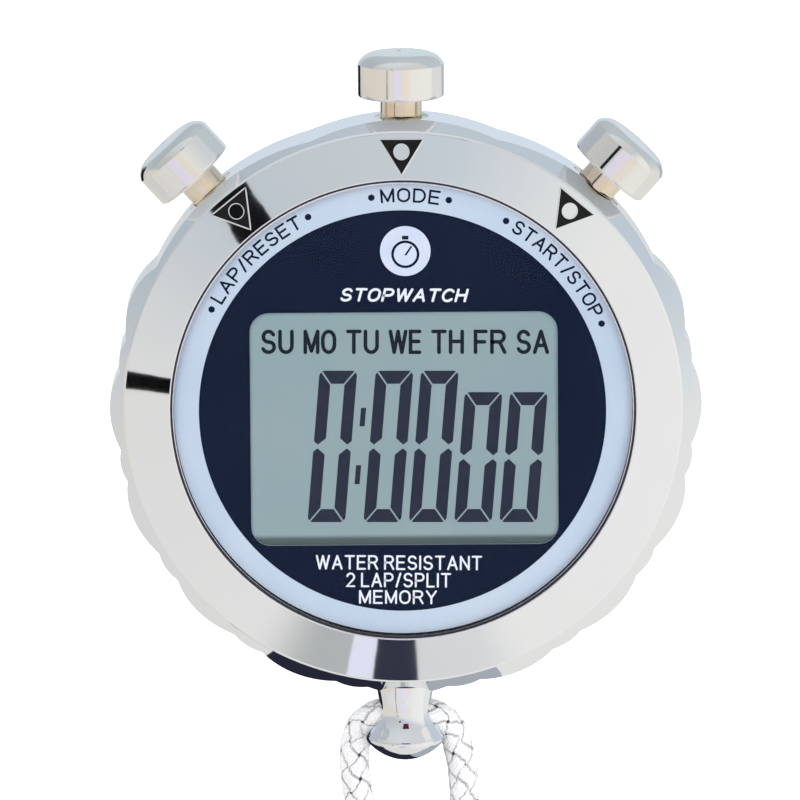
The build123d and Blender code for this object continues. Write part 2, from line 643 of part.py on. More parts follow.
# ---- Push buttons: cap, stem, bushing, spring, seal and clip, one set at each clock angle ----
# the cap's end is slightly crowned: an arc whose centre is on the button's axis
edge_s = CAP_OUTER_S - CAP_CROWN
flat_r = CAP_R - CAP_EDGE_W
crown_r = (flat_r**2 + CAP_CROWN**2) / (2 * CAP_CROWN)
crown_side = sqrt(crown_r**2 - flat_r**2 / 4)
crown_middle = (CAP_OUTER_S - crown_r + crown_side, flat_r / 2)
for button, direction in BUTTONS.items():
    with BuildPart() as cap:
        with BuildSketch(axial_plane(direction)):
            with BuildLine():
                Line((CAP_INNER_S, SPIGOT_R), (CAP_INNER_S, CAP_R - CAP_SKIRT_FILLET))
                TangentArc(
                    (CAP_INNER_S, CAP_R - CAP_SKIRT_FILLET),
                    (CAP_INNER_S + CAP_SKIRT_FILLET, CAP_R),
                    tangent=(0, 1),
                )
                Line((CAP_INNER_S + CAP_SKIRT_FILLET, CAP_R), (CAP_CREASE_S, CAP_R))
                ThreePointArc((CAP_CREASE_S, CAP_R), CAP_EDGE_MIDDLE, (edge_s, flat_r))
                ThreePointArc((edge_s, flat_r), crown_middle, (CAP_OUTER_S, 0))
                Polyline(
                    (CAP_OUTER_S, 0),
                    (SPIGOT_END_S, 0),
                    (SPIGOT_END_S, SPIGOT_R),
                    (CAP_INNER_S, SPIGOT_R),
                )
            make_face()
        revolve(axis=radial_axis(direction))
        crease_x = CAP_CREASE_S * cos(radians(direction))
        crease_y = CAP_CREASE_S * sin(radians(direction))
        fillet(circle_near(cap, (crease_x, crease_y, AXIS_Z + CAP_R)), CAP_CREASE_FILLET)
    save(cap, f"{button}_cap")

    with BuildPart() as stem:
        with BuildSketch(axial_plane(direction)):
            with BuildLine():
                Polyline(
                    (PIN_TIP_S, 0),
                    (PIN_TIP_S, PIN_R),
                    (CLIP_S[0], PIN_R),
                    (CLIP_S[0], CLIP_GROOVE_R),
                    (CLIP_S[1], CLIP_GROOVE_R),
                    (CLIP_S[1], PIN_R),
                    (STEM_SHOULDER_S, PIN_R),
                    (STEM_SHOULDER_S, STEM_R),
                    (ORING_S - ORING_GROOVE_HALF, STEM_R),
                    (ORING_S - ORING_GROOVE_HALF, ORING_GROOVE_R),
                    (ORING_S + ORING_GROOVE_HALF, ORING_GROOVE_R),
                    (ORING_S + ORING_GROOVE_HALF, STEM_R),
                    (STEM_GROOVE_S[0], STEM_R),
                    (STEM_GROOVE_S[0], STEM_GROOVE_R),
                    (STEM_GROOVE_S[1], STEM_GROOVE_R),
                    (STEM_GROOVE_S[1], STEM_R),
                    (CAP_INNER_S, STEM_R),
                    (CAP_INNER_S, SPIGOT_R),
                    (SPIGOT_END_S, SPIGOT_R),
                    (SPIGOT_END_S, 0),
                    close=True,
                )
            make_face()
        revolve(axis=radial_axis(direction))
    save(stem, f"{button}_stem")

    with BuildPart() as bushing:
        with BuildSketch(axial_plane(direction)):
            with BuildLine():
                Polyline(
                    (BUSHING_INNER_S, PIN_HOLE_R),
                    (BUSHING_INNER_S, BUSHING_R),
                    (BUSHING_OUTER_S, BUSHING_R),
                    (BUSHING_OUTER_S, BUSHING_BORE_R),
                    (BUSHING_FLOOR_S, BUSHING_BORE_R),
                    (BUSHING_FLOOR_S, PIN_HOLE_R),
                    close=True,
                )
            make_face()
        revolve(axis=radial_axis(direction))
    save(bushing, f"{button}_bushing")

    with BuildPart() as spring:
        start_s = BUSHING_FLOOR_S + SPRING_WIRE_R + SPRING_END_GAP
        length = STEM_SHOULDER_S - SPRING_WIRE_R - SPRING_END_GAP - start_s
        x, y = polar(start_s, direction)
        coil = Helix(
            pitch=SPRING_PITCH,
            height=length,
            radius=SPRING_RING_R,
            center=(x, y, AXIS_Z),
            direction=(cos(radians(direction)), sin(radians(direction)), 0),
        )
        with BuildSketch(Plane(origin=coil @ 0, z_dir=coil % 0)):
            Circle(SPRING_WIRE_R)
        sweep(path=coil, is_frenet=True)
    save(spring, f"{button}_spring")

    with BuildPart() as seal:
        with BuildSketch(axial_plane(direction)):
            with Locations((ORING_S, ORING_RING_R)):
                Circle(ORING_WIRE_R)
        revolve(axis=radial_axis(direction))
    save(seal, f"{button}_seal")

    with BuildPart() as clip:
        with BuildSketch(facing_plane(direction, CLIP_S[0])):
            Circle(CLIP_R)
            Circle(CLIP_GROOVE_R, mode=Mode.SUBTRACT)
            with Locations((-CLIP_R, 0)):
                Rectangle(2 * CLIP_R, CLIP_MOUTH, mode=Mode.SUBTRACT)
        extrude(amount=CLIP_S[1] - CLIP_S[0])
    save(clip, f"{button}_clip")

# ---- Pendant: a bell-shaped post with a cross hole for the cord ----
with BuildPart() as pendant:
    with BuildSketch(axial_plane(270)):
        with BuildLine():
            Polyline(
                (PENDANT_SPIGOT_S, 0),
                (PENDANT_SPIGOT_S, PENDANT_SPIGOT_R),
                (PENDANT_SEAT_S, PENDANT_SPIGOT_R),
                (PENDANT_SEAT_S, PENDANT_NECK_R),
            )
            Spline((PENDANT_SEAT_S, PENDANT_NECK_R), *PENDANT_WAIST, PENDANT_FLARE)
            ThreePointArc(PENDANT_FLARE, PENDANT_DOME, (PENDANT_TIP_S, 0))
            Line((PENDANT_TIP_S, 0), (PENDANT_SPIGOT_S, 0))
        make_face()
    revolve(axis=radial_axis(270))
    flare_s, flare_r = PENDANT_FLARE
    fillet(circle_near(pendant, (0, -flare_s, AXIS_Z + flare_r)), PENDANT_EDGE_FILLET)
    with BuildSketch(Plane(origin=(0, -CORD_HOLE_S, CORD_HOLE_Z), x_dir=(0, 1, 0), z_dir=(1, 0, 0))):
        Circle(CORD_HOLE_R)
    extrude(amount=flare_r + 1, both=True, mode=Mode.SUBTRACT)
save(pendant, "pendant")

with BuildPart() as pendant_nut:
    with BuildSketch(facing_plane(270, PENDANT_SPIGOT_S)):
        RegularPolygon(PENDANT_NUT[0], 6)
        Circle(PENDANT_SPIGOT_R, mode=Mode.SUBTRACT)
    extrude(amount=PENDANT_NUT[1])
save(pendant_nut, "pendant_nut")


# ---- Neck cord: two arms out of the pendant, and the rest put away as a tied coil ----
def arm(points, name):
    """A round tube of straight runs and tangent arcs along the route."""
    turns = []
    runs = [Vector(b) - Vector(a) for a, b in zip(points, points[1:])]
    for before, after in zip(runs, runs[1:]):
        turn = before.get_angle(after)
        room = BEND_SHARE * min(before.length, after.length)
        turns.append(room / tan(radians(turn / 2)))
    print(name, "radii, mm:", [round(r, 1) for r in turns])
    with BuildPart() as made:
        with BuildLine() as route:
            FilletPolyline(*points, radius=turns)
        with BuildSketch(Plane(origin=points[0], z_dir=runs[0])):
            Circle(CORD_D / 2)
        sweep(path=route.wires()[0])
    length = route.wires()[0].length
    filled = made.part.volume / (pi * CORD_D**2 / 4 * length)
    print(name, "length, mm:", round(length, 1), "volume ratio:", round(filled, 4))
    return made


save(arm(LEFT_ARM, "left arm"), "lanyard_left")
save(arm(RIGHT_ARM, "right arm"), "lanyard_right")

cx, cy = COIL_CENTRE
section_x = cx - (COIL_R[0] + COIL_R[1]) / 2
tie_plane = Plane(origin=(section_x, cy, COIL_H / 2), x_dir=(1, 0, 0), z_dir=(0, -1, 0))
tie_length = COIL_R[1] - COIL_R[0] + 2 * TIE_CLEAR
tie_inside = (tie_length - 2 * TIE_T, COIL_H - 2 * TIE_T, TIE_CORNER - TIE_T)
with BuildPart() as lanyard_tie:
    with BuildSketch(tie_plane):
        RectangleRounded(tie_length, COIL_H, TIE_CORNER)
        RectangleRounded(*tie_inside, mode=Mode.SUBTRACT)
    extrude(amount=TIE_W / 2, both=True)
save(lanyard_tie, "lanyard_tie")

# what the strap pinches away from the coil
with BuildPart() as tie_room:
    with BuildSketch(tie_plane):
        Rectangle(tie_length + 2, COIL_H + 2)
        RectangleRounded(*tie_inside, mode=Mode.SUBTRACT)
    extrude(amount=TIE_W / 2, both=True)

with BuildPart() as lanyard_ferrule:
    with BuildSketch(Plane.XY):
        with Locations((cx, cy - FERRULE_R)):
            RectangleRounded(FERRULE[0], FERRULE[1], FERRULE_CORNER)
    extrude(amount=FERRULE[2])
    fillet(lanyard_ferrule.edges().filter_by(Axis.X), FERRULE_FILLET)
save(lanyard_ferrule, "lanyard_ferrule")

with BuildPart() as lanyard_coil:
    with BuildSketch(Plane.XY):
        with Locations((cx, cy)):
            Circle(COIL_R[1])
            Circle(COIL_R[0], mode=Mode.SUBTRACT)
    extrude(amount=COIL_H)
    fillet(lanyard_coil.edges().filter_by(GeomType.CIRCLE), COIL_FILLET)
    add(tie_room.part, mode=Mode.SUBTRACT)
    with BuildSketch(Plane.XY):
        with Locations((cx, cy - FERRULE_R)):
            Rectangle(FERRULE[0] + 2 * FIT, FERRULE[1] + 2 * FIT)
    extrude(amount=COIL_H, mode=Mode.SUBTRACT)
save(lanyard_coil, "lanyard_coil")
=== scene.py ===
import math

import bpy
from mathutils import Matrix, Vector


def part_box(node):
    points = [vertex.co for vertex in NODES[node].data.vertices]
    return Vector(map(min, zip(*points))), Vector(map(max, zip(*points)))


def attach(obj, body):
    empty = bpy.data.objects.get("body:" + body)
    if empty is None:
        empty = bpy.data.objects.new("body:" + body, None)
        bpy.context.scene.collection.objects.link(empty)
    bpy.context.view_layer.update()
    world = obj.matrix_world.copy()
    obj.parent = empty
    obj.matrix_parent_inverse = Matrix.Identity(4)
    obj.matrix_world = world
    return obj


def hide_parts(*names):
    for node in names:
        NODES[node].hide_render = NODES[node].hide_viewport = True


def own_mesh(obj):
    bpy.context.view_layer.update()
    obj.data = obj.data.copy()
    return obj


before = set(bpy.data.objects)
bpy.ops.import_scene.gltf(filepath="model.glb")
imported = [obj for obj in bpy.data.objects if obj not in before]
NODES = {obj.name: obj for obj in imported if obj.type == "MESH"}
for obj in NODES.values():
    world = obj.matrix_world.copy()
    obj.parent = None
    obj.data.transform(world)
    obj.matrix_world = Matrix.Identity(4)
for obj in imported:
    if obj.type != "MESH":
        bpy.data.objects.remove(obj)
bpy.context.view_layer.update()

MM = 0.001

# ---------------------------------------------------------------- dimensions

# case front, repeated from the part's source
FACE_TILT = math.degrees(math.atan2(1.5, 5.02))   # slope of the conical face
FACE_MID_R = 27.4
MARKER_ANGLES = (50.0, 90.0, 129.3)
MARKER_BASE_R = 29.15
MARKER_APEX_R = 25.45
MARKER_SIDE = 4.7
MARKER_DOT_R = 0.82
MARKER_DOT_S = 27.85
MARKER_SIDE_STEPS = 12
EDGE_BEAD_R = 0.09
DOT_BEAD_R = 0.06
FACE_INNER = (24.88, 15.5)        # radius and height where the cone starts
FACE_SLOPE = 1.5 / 5.02

# dial
DIAL_PRINT_R = 21.77
DIAL_PRINT_CENTRE = (-0.07, -0.28)
DIAL_WINDOW = (32.9, 25.3)
DIAL_WINDOW_CENTRE = (0.1, -2.2)
DIAL_WINDOW_CORNER = 2.1
DIAL_TURN = -0.75                 # degrees, the print sits slightly turned
INK_T = 0.008
INK_GAP = 0.004
# piece, words, span along x, span along y, half the stroke's width, slant
DIAL_LINES = (
    ("stopwatch_word", "STOPWATCH", (-6.7, 6.78), (11.56, 13.05), 0.135, 0.26),
    ("water_word", "WATER RESISTANT", (-9.25, 8.55), (-17.6, -16.0), 0.105, 0.0),
    ("split_word", "2 LAP/SPLIT", (-6.0, 5.25), (-19.5, -17.9), 0.105, 0.0),
    ("memory_word", "MEMORY", (-4.6, 3.75), (-21.32, -19.8), 0.105, 0.0),
)
# piece, words and the polar angles they run between, clockwise in the pale ring
RING_LINES = (
    ("mode_word", "MODE", 96.1, 80.9),
    ("lap_reset_word", "LAP/RESET", 149.9, 119.1),
    ("start_stop_word", "START/STOP", 59.3, 26.55),
)
RING_WORDS_R = 22.35              # foot of the words
RING_WORDS_HEIGHT = 1.55
RING_STROKE = 0.115               # half the width of the strokes
RING_DOT_R = 0.35
RING_DOT_S = 23.1
RING_DOT_TURN = 2.7               # degrees from the words to the dot beside them

# the sign, from its own middle
SIGN_CENTRE = (0.12, 17.08)
SIGN_R = 2.7
SIGN_RING = (1.5, 1.22)
SIGN_RING_Y = -0.35
SIGN_CROWN = ((-0.34, 1.25), (0.34, 1.25), (0.34, 1.65), (-0.34, 1.65))
SIGN_HAND = ((-0.12, -0.47), (0.12, -0.47), (0.74, 0.47), (0.60, 0.57))

# display digits
DIGIT_W = 4.03
DIGIT_TALL = 16.48
DIGIT_SHORT = 14.15
DIGIT_BASE_Y = -12.44
DIGIT_SLANT = math.tan(math.radians(4.56))
DIGIT_BAR = 1.26                  # width of the upright segments
DIGIT_CAP = 1.42                  # height of the top and bottom segments
DIGIT_MID_GAP = 0.2
TALL_DIGITS_X = (-10.24, -4.25, 0.60)
SHORT_DIGITS_X = (5.46, 10.30)
COLON = ((-4.39, -2.0, 2.0), (-4.93, -8.31, 2.07))    # x, y of the foot, height
COLON_W = 0.55
DISPLAY_TURN = -0.4
WEEKDAYS = ("SU", "MO", "TU", "WE", "TH", "FR", "SA")
WEEKDAY_X = -15.2
WEEKDAY_PITCH = 4.546
WEEKDAY_W = 3.52
WEEKDAY_Y = (5.84, 8.50)
WEEKDAY_STROKE = 0.40

# lanyard, repeated from the part's source
CORD_D = 3.3
LEFT_ARM = (
    (0.0, -34.3, 8.6),
    (-2.6, -34.3, 8.4),
    (-4.75, -35.75, 7.1),
    (-5.65, -38.8, 6.6),
    (-5.3, -43.2, 5.9),
    (-4.2, -49.0, 4.4),
    (-2.1, -55.0, 2.6),
    (0.2, -60.5, 1.68),
    (0.85, -66.0, 1.68),
)
RIGHT_ARM = (
    (0.0, -34.3, 8.6),
    (2.6, -34.3, 8.4),
    (4.75, -35.75, 7.1),
    (5.85, -38.7, 6.8),
    (6.4, -43.2, 6.7),
    (6.2, -49.0, 6.4),
    (4.4, -55.0, 5.6),
    (2.0, -60.8, 5.12),
    (0.85, -66.2, 5.05),
)
COIL_CENTRE = (-22.4, -71.0)
COIL_START_R = 23.3
COIL_PITCH = 3.4
POINTS_PER_TURN = 16
COIL_TURNS = 3.0
LEFT_Z = 1.68
RIGHT_Z = 5.02
TIE_SQUEEZE = 0.45                # the strap presses the two layers together
TIE_HALF_ANGLE = 26.0
FERRULE_Z = 2.1
LEFT_FERRULE_Y = -10.1
RIGHT_FERRULE_Y = -6.5
LEFT_SHIFT = (2.85, 0.5, 1.6)     # turn it starts at, turns it takes, and how far inwards
RIGHT_SHIFT = (2.35, 0.75, 4.9)
RIGHT_DROP = (2.6, 0.6)           # turn it starts at, and turns it takes
LEFT_ENTRY = ((12.0, 3.0625), (11.6, 3.125))                  # radius and turn
RIGHT_ENTRY = ((7.9, 3.0625, 2.5), (7.7, 3.125, FERRULE_Z))   # radius, turn and height
LEFT_RUN_X = (5.2, 2.6, 0.0)
RIGHT_RUN_X = (4.2, 2.1, 0.0)

# buttons, repeated from the part's source
BUTTON_ANGLES = {"start_stop": 48.0, "mode": 90.0, "lap_reset": 132.0}

# braid
STRANDS = 4                       # in each direction
BRAID_PITCH = 2.83                # between crossings along the cord
BRAID_DEPTH = 0.16
STRAND_DIP = 0.75                 # how much lower a strand is under a crossing
CROSSING_SHARPNESS = 1.9
YARNS = 5.0                       # in each strand
BRAID_SIDES = 48
BRAID_STEP = 0.18

# camera
TILT = 10.5                       # degrees from the dial's normal towards 12 o'clock
CAMERA_DISTANCE = 1500.0
CRYSTAL_TOP_Z = 15.4
CAMERA_SHIFT = (-0.331, 1.105)
CAMERA_ROLL = -0.4
LENS = 632.0
SENSOR = 36.0

# studio
CARD_DISTANCE = 400.0
CARD_HEIGHT = 60.0
GROUND_CARD_Y = (-62.0, -36.0)
GROUND_CARD_Z = -0.02
FLOOR_HALF = 3000.0
FLOOR_Z = -0.05

# materials
NOISE_SPAN = (0.3, 0.7)           # where nearly all of a noise's values lie


# ---------------------------------------------------------------- small helpers

def polar(radius, degrees):
    """The plane position of a point given by its radius and angle."""
    angle = math.radians(degrees)
    return radius * math.cos(angle), radius * math.sin(angle)


def top_of(node):
    """Height of a node's highest point, in millimetres."""
    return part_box(node)[1].z / MM


def smooth(value):
    """Smooth step of a value held between 0 and 1."""
    value = min(max(value, 0.0), 1.0)
    return value * value * (3.0 - 2.0 * value)


def turned(x, y, degrees, centre=(0.0, 0.0)):
    """A point turned about a centre."""
    angle = math.radians(degrees)
    dx, dy = x - centre[0], y - centre[1]
    return (
        centre[0] + dx * math.cos(angle) - dy * math.sin(angle),
        centre[1] + dx * math.sin(angle) + dy * math.cos(angle),
    )


def link(name, mesh, material=None):
    """A new object for a mesh."""
    piece = bpy.data.objects.new(name, mesh)
    bpy.context.scene.collection.objects.link(piece)
    if material is not None:
        mesh.materials.append(material)
    return piece


# ---------------------------------------------------------------- node trees

class Tree:
    """A node tree, with short ways to add to it."""

    def __init__(self, owner):
        owner.use_nodes = True
        self.nodes = owner.node_tree.nodes
        self.links = owner.node_tree.links

    def put(self, value, target):
        """Sets an input to a value, or joins another node's output to it."""
        if isinstance(value, bpy.types.NodeSocket):
            self.links.new(value, target)
        else:
            target.default_value = value

    def add(self, kind, inputs, **settings):
        """A new node, with its settings made before its inputs are fed."""
        node = self.nodes.new(kind)
        for key, value in settings.items():
            setattr(node, key, value)
        for name, value in inputs.items():
            self.put(value, node.inputs[name])
        return node

    def math(self, operation, *values):
        node = self.add("ShaderNodeMath", dict(enumerate(values)), operation=operation)
        return node.outputs["Value"]

    def vector(self, operation, *values, result="Vector"):
        inputs = dict(enumerate(values))
        return self.add("ShaderNodeVectorMath", inputs, operation=operation).outputs[result]

    def spread(self, value, span, result=(0.0, 1.0), soft=False):
        """Maps a span of values to a span of results."""
        inputs = {"Value": value, "From Min": span[0], "From Max": span[1],
                  "To Min": result[0], "To Max": result[1]}
        kind = "SMOOTHSTEP" if soft else "LINEAR"
        node = self.add("ShaderNodeMapRange", inputs, interpolation_type=kind)
        return node.outputs["Result"]

    def mix(self, factor, first, second, kind="RGBA", blend="MIX"):
        """The first where the factor is 0 and the second where it is 1."""
        inputs = {"Factor": factor, "A": first, "B": second}
        node = self.add("ShaderNodeMix", inputs, data_type=kind, blend_type=blend)
        return node.outputs["Result"]

    def ramp(self, value, stops):
        """Colours along a value; each stop is a position from 0 to 1 and a colour."""
        node = self.add("ShaderNodeValToRGB", {"Fac": value})
        elements = node.color_ramp.elements
        elements[0].position, colour = stops[0]
        elements[0].color = (*colour, 1.0)
        elements[1].position, colour = stops[-1]
        elements[1].color = (*colour, 1.0)
        for position, colour in stops[1:-1]:
            elements.new(position).color = (*colour, 1.0)
        return node.outputs["Color"]


class Paint(Tree):
    """A material and its principled shader."""

    def __init__(self, name):
        self.material = bpy.data.materials.new(name)
        super().__init__(self.material)
        self.shader = self.nodes["Principled BSDF"]

    def set(self, **values):
        """Feeds the shader's inputs; an underscore stands for the space in a name."""
        for key, value in values.items():
            self.put(value, self.shader.inputs[key.replace("_", " ")])

    def place(self):
        """A point's place in the object's own space."""
        return self.add("ShaderNodeTexCoord", {}).outputs["Object"]

    def parts(self, vector):
        """The three parts of a vector, named X, Y and Z."""
        return self.add("ShaderNodeSeparateXYZ", {"Vector": vector}).outputs

    def attribute(self, name):
        """A value stored on the mesh."""
        return self.add("ShaderNodeAttribute", {}, attribute_name=name).outputs["Fac"]

    def noise(self, scale, detail=3.0):
        """Noise in the object's own space; scale is in patches per millimetre."""
        inputs = {"Vector": self.place(), "Scale": scale / MM, "Detail": detail}
        return self.add("ShaderNodeTexNoise", inputs).outputs["Fac"]

    def between(self, noise, low, high):
        """Maps a noise to the span from low to high."""
        return self.spread(noise, NOISE_SPAN, (low, high))

    def tones(self, noise, first, second):
        """Maps a noise to the colours from the first to the second."""
        return self.ramp(noise, ((NOISE_SPAN[0], first), (NOISE_SPAN[1], second)))

    def bump(self, height, distance):
        """Roughens the surface; distance is in millimetres."""
        inputs = {"Height": height, "Distance": distance * MM, "Strength": 1.0}
        self.set(Normal=self.add("ShaderNodeBump", inputs).outputs["Normal"])

    def outwards(self):
        """How far a surface faces away from the case's axis, from -1 to 1."""
        face = self.add("ShaderNodeNewGeometry", {}).outputs
        flat = self.vector("MULTIPLY", face["Position"], (1.0, 1.0, 0.0))
        away = self.vector("NORMALIZE", flat)
        return self.vector("DOT_PRODUCT", away, face["Normal"], result="Value")

    def chamfer(self, level, amount):
        """An amount on sloping faces and nothing on faces that lie flat or stand upright."""
        normal = self.add("ShaderNodeNewGeometry", {}).outputs["Normal"]
        upwards = self.parts(normal)["Z"]
        below = self.math("LESS_THAN", upwards, level)
        above = self.math("GREATER_THAN", upwards, 0.3)
        return self.math("MULTIPLY", self.math("MULTIPLY", below, above), amount)


# ---------------------------------------------------------------- materials

def finish_of(name, first, second, patch, rough, metallic=0.0, grain=None, **more):
    """A surface whose tone and gloss wander slightly, with an optional grain.

    patch is in patches per millimetre, grain is (patches per mm, height in mm).
    """
    paint = Paint(name)
    wander = paint.noise(patch)
    paint.set(
        Metallic=metallic,
        Base_Color=paint.tones(wander, first, second),
        Roughness=paint.between(wander, *rough),
        **more,
    )
    if grain:
        scale, height = grain
        paint.bump(paint.noise(scale, 2.0), height)
    return paint.material


def nickel_paint():
    """Bright nickel; the undersides of the caps, which face the case, are left matt and
    painted a pale bluish white as painted reflected light.
    """
    paint = Paint("nickel")
    wander = paint.noise(0.1)
    tone = paint.tones(wander, (0.82, 0.80, 0.76), (0.88, 0.86, 0.82))
    # faces turned towards the case lose their metal: the matt finish is real, the pale bluish
    # white colour is painted reflected light
    shiny = paint.spread(paint.outwards(), (-0.9, -0.6))
    gloss = paint.between(wander, 0.05, 0.09)
    paint.set(
        Metallic=shiny,
        Base_Color=paint.mix(shiny, (0.86, 0.92, 0.96, 1.0), tone),
        Roughness=paint.mix(shiny, 0.75, gloss, kind="FLOAT"),
    )
    paint.bump(paint.noise(0.4, 2.0), 0.003)
    return paint.material


def crystal_paint():
    """Thin clear glass: it lets the light straight through and adds its gloss."""
    paint = Paint("crystal_glass")
    tint = paint.tones(paint.noise(0.12), (0.985, 0.99, 1.0), (1.0, 1.0, 1.0))
    clear = paint.add("ShaderNodeBsdfTransparent", {"Color": tint})
    inputs = {"Color": (1.0, 1.0, 1.0, 1.0), "Roughness": 0.02}
    gloss = paint.add("ShaderNodeBsdfGlossy", inputs)
    fresnel = paint.add("ShaderNodeFresnel", {"IOR": 1.10}).outputs["Fac"]
    share = paint.math("MAXIMUM", fresnel, paint.chamfer(0.97, 0.9))
    inputs = {"Fac": share, 1: clear.outputs["BSDF"], 2: gloss.outputs["BSDF"]}
    glass = paint.add("ShaderNodeMixShader", inputs).outputs["Shader"]
    paint.put(glass, paint.nodes["Material Output"].inputs["Surface"])
    return paint.material


def film_paint():
    """The display's grey-green film, with a painted shadow of the window's edge darkening it
    along its lower edge.
    """
    paint = Paint("lcd_film")
    field = paint.tones(paint.noise(0.08), (0.273, 0.376, 0.392), (0.300, 0.386, 0.404))
    # painted shadow: the film darkens towards the lower edge of the dial's window
    edge = (DIAL_WINDOW_CENTRE[1] - DIAL_WINDOW[1] / 2) * MM
    span = (edge + 0.55 * MM, edge + 1.2 * MM)
    painted_shade = paint.spread(paint.parts(paint.place())["Y"], span, (1.0, 0.0), soft=True)
    paint.set(
        Base_Color=paint.mix(painted_shade, field, (0.085, 0.12, 0.115, 1.0)),
        Roughness=0.55,
        Specular_IOR_Level=0.2,
    )
    return paint.material


def cover_paint():
    """Brushed steel, turned in rings about the case's axis."""
    paint = Paint("cover_steel")
    place = paint.parts(paint.place())
    flat = paint.add("ShaderNodeCombineXYZ", {"X": place["X"], "Y": place["Y"]})
    radius = paint.vector("LENGTH", flat.outputs["Vector"], result="Value")
    line = paint.add("ShaderNodeCombineXYZ", {"X": radius}).outputs["Vector"]
    inputs = {"Vector": line, "Scale": 9.0 / MM, "Detail": 4.0}
    rings = paint.add("ShaderNodeTexNoise", inputs).outputs["Fac"]
    paint.set(
        Metallic=1.0,
        Base_Color=paint.tones(rings, (0.52, 0.52, 0.51), (0.68, 0.68, 0.66)),
        Roughness=paint.between(rings, 0.22, 0.36),
    )
    paint.bump(rings, 0.006)
    return paint.material


def cord_paint():
    """Glossy white braid with fine yarns along each strand; painted shade darkens it where it
    lies low between the strands, and a few dark flecks of painted shadow sit in those gaps.
    """
    paint = Paint("cord_braid")
    depth = paint.attribute("braid_height")
    # painted shade: the braid is darker where it lies low between the strands
    painted_shade = paint.ramp(depth, (
        (0.05, (0.84, 0.85, 0.87)),
        (0.16, (0.90, 0.91, 0.92)),
        (0.45, (0.93, 0.93, 0.94)),
        (0.75, (0.96, 0.96, 0.96)),
    ))
    tone = paint.tones(paint.noise(3.0, 4.0), (0.86, 0.87, 0.89), (1.0, 1.0, 1.0))
    white = paint.mix(1.0, painted_shade, tone, blend="MULTIPLY")
    # painted shadow: a few dark flecks, only in the deepest gaps between the strands
    gap = paint.spread(depth, (0.40, 0.30))
    shadow_fleck = paint.spread(paint.noise(1.3, 0.0), (0.56, 0.58))
    dark = paint.math("MULTIPLY", gap, shadow_fleck)
    paint.set(
        Base_Color=paint.mix(dark, white, (0.02, 0.02, 0.025, 1.0)),
        Roughness=0.34,
        Sheen_Weight=0.2,
    )
    paint.bump(paint.math("SINE", paint.attribute("yarn_phase")), 0.018)
    return paint.material


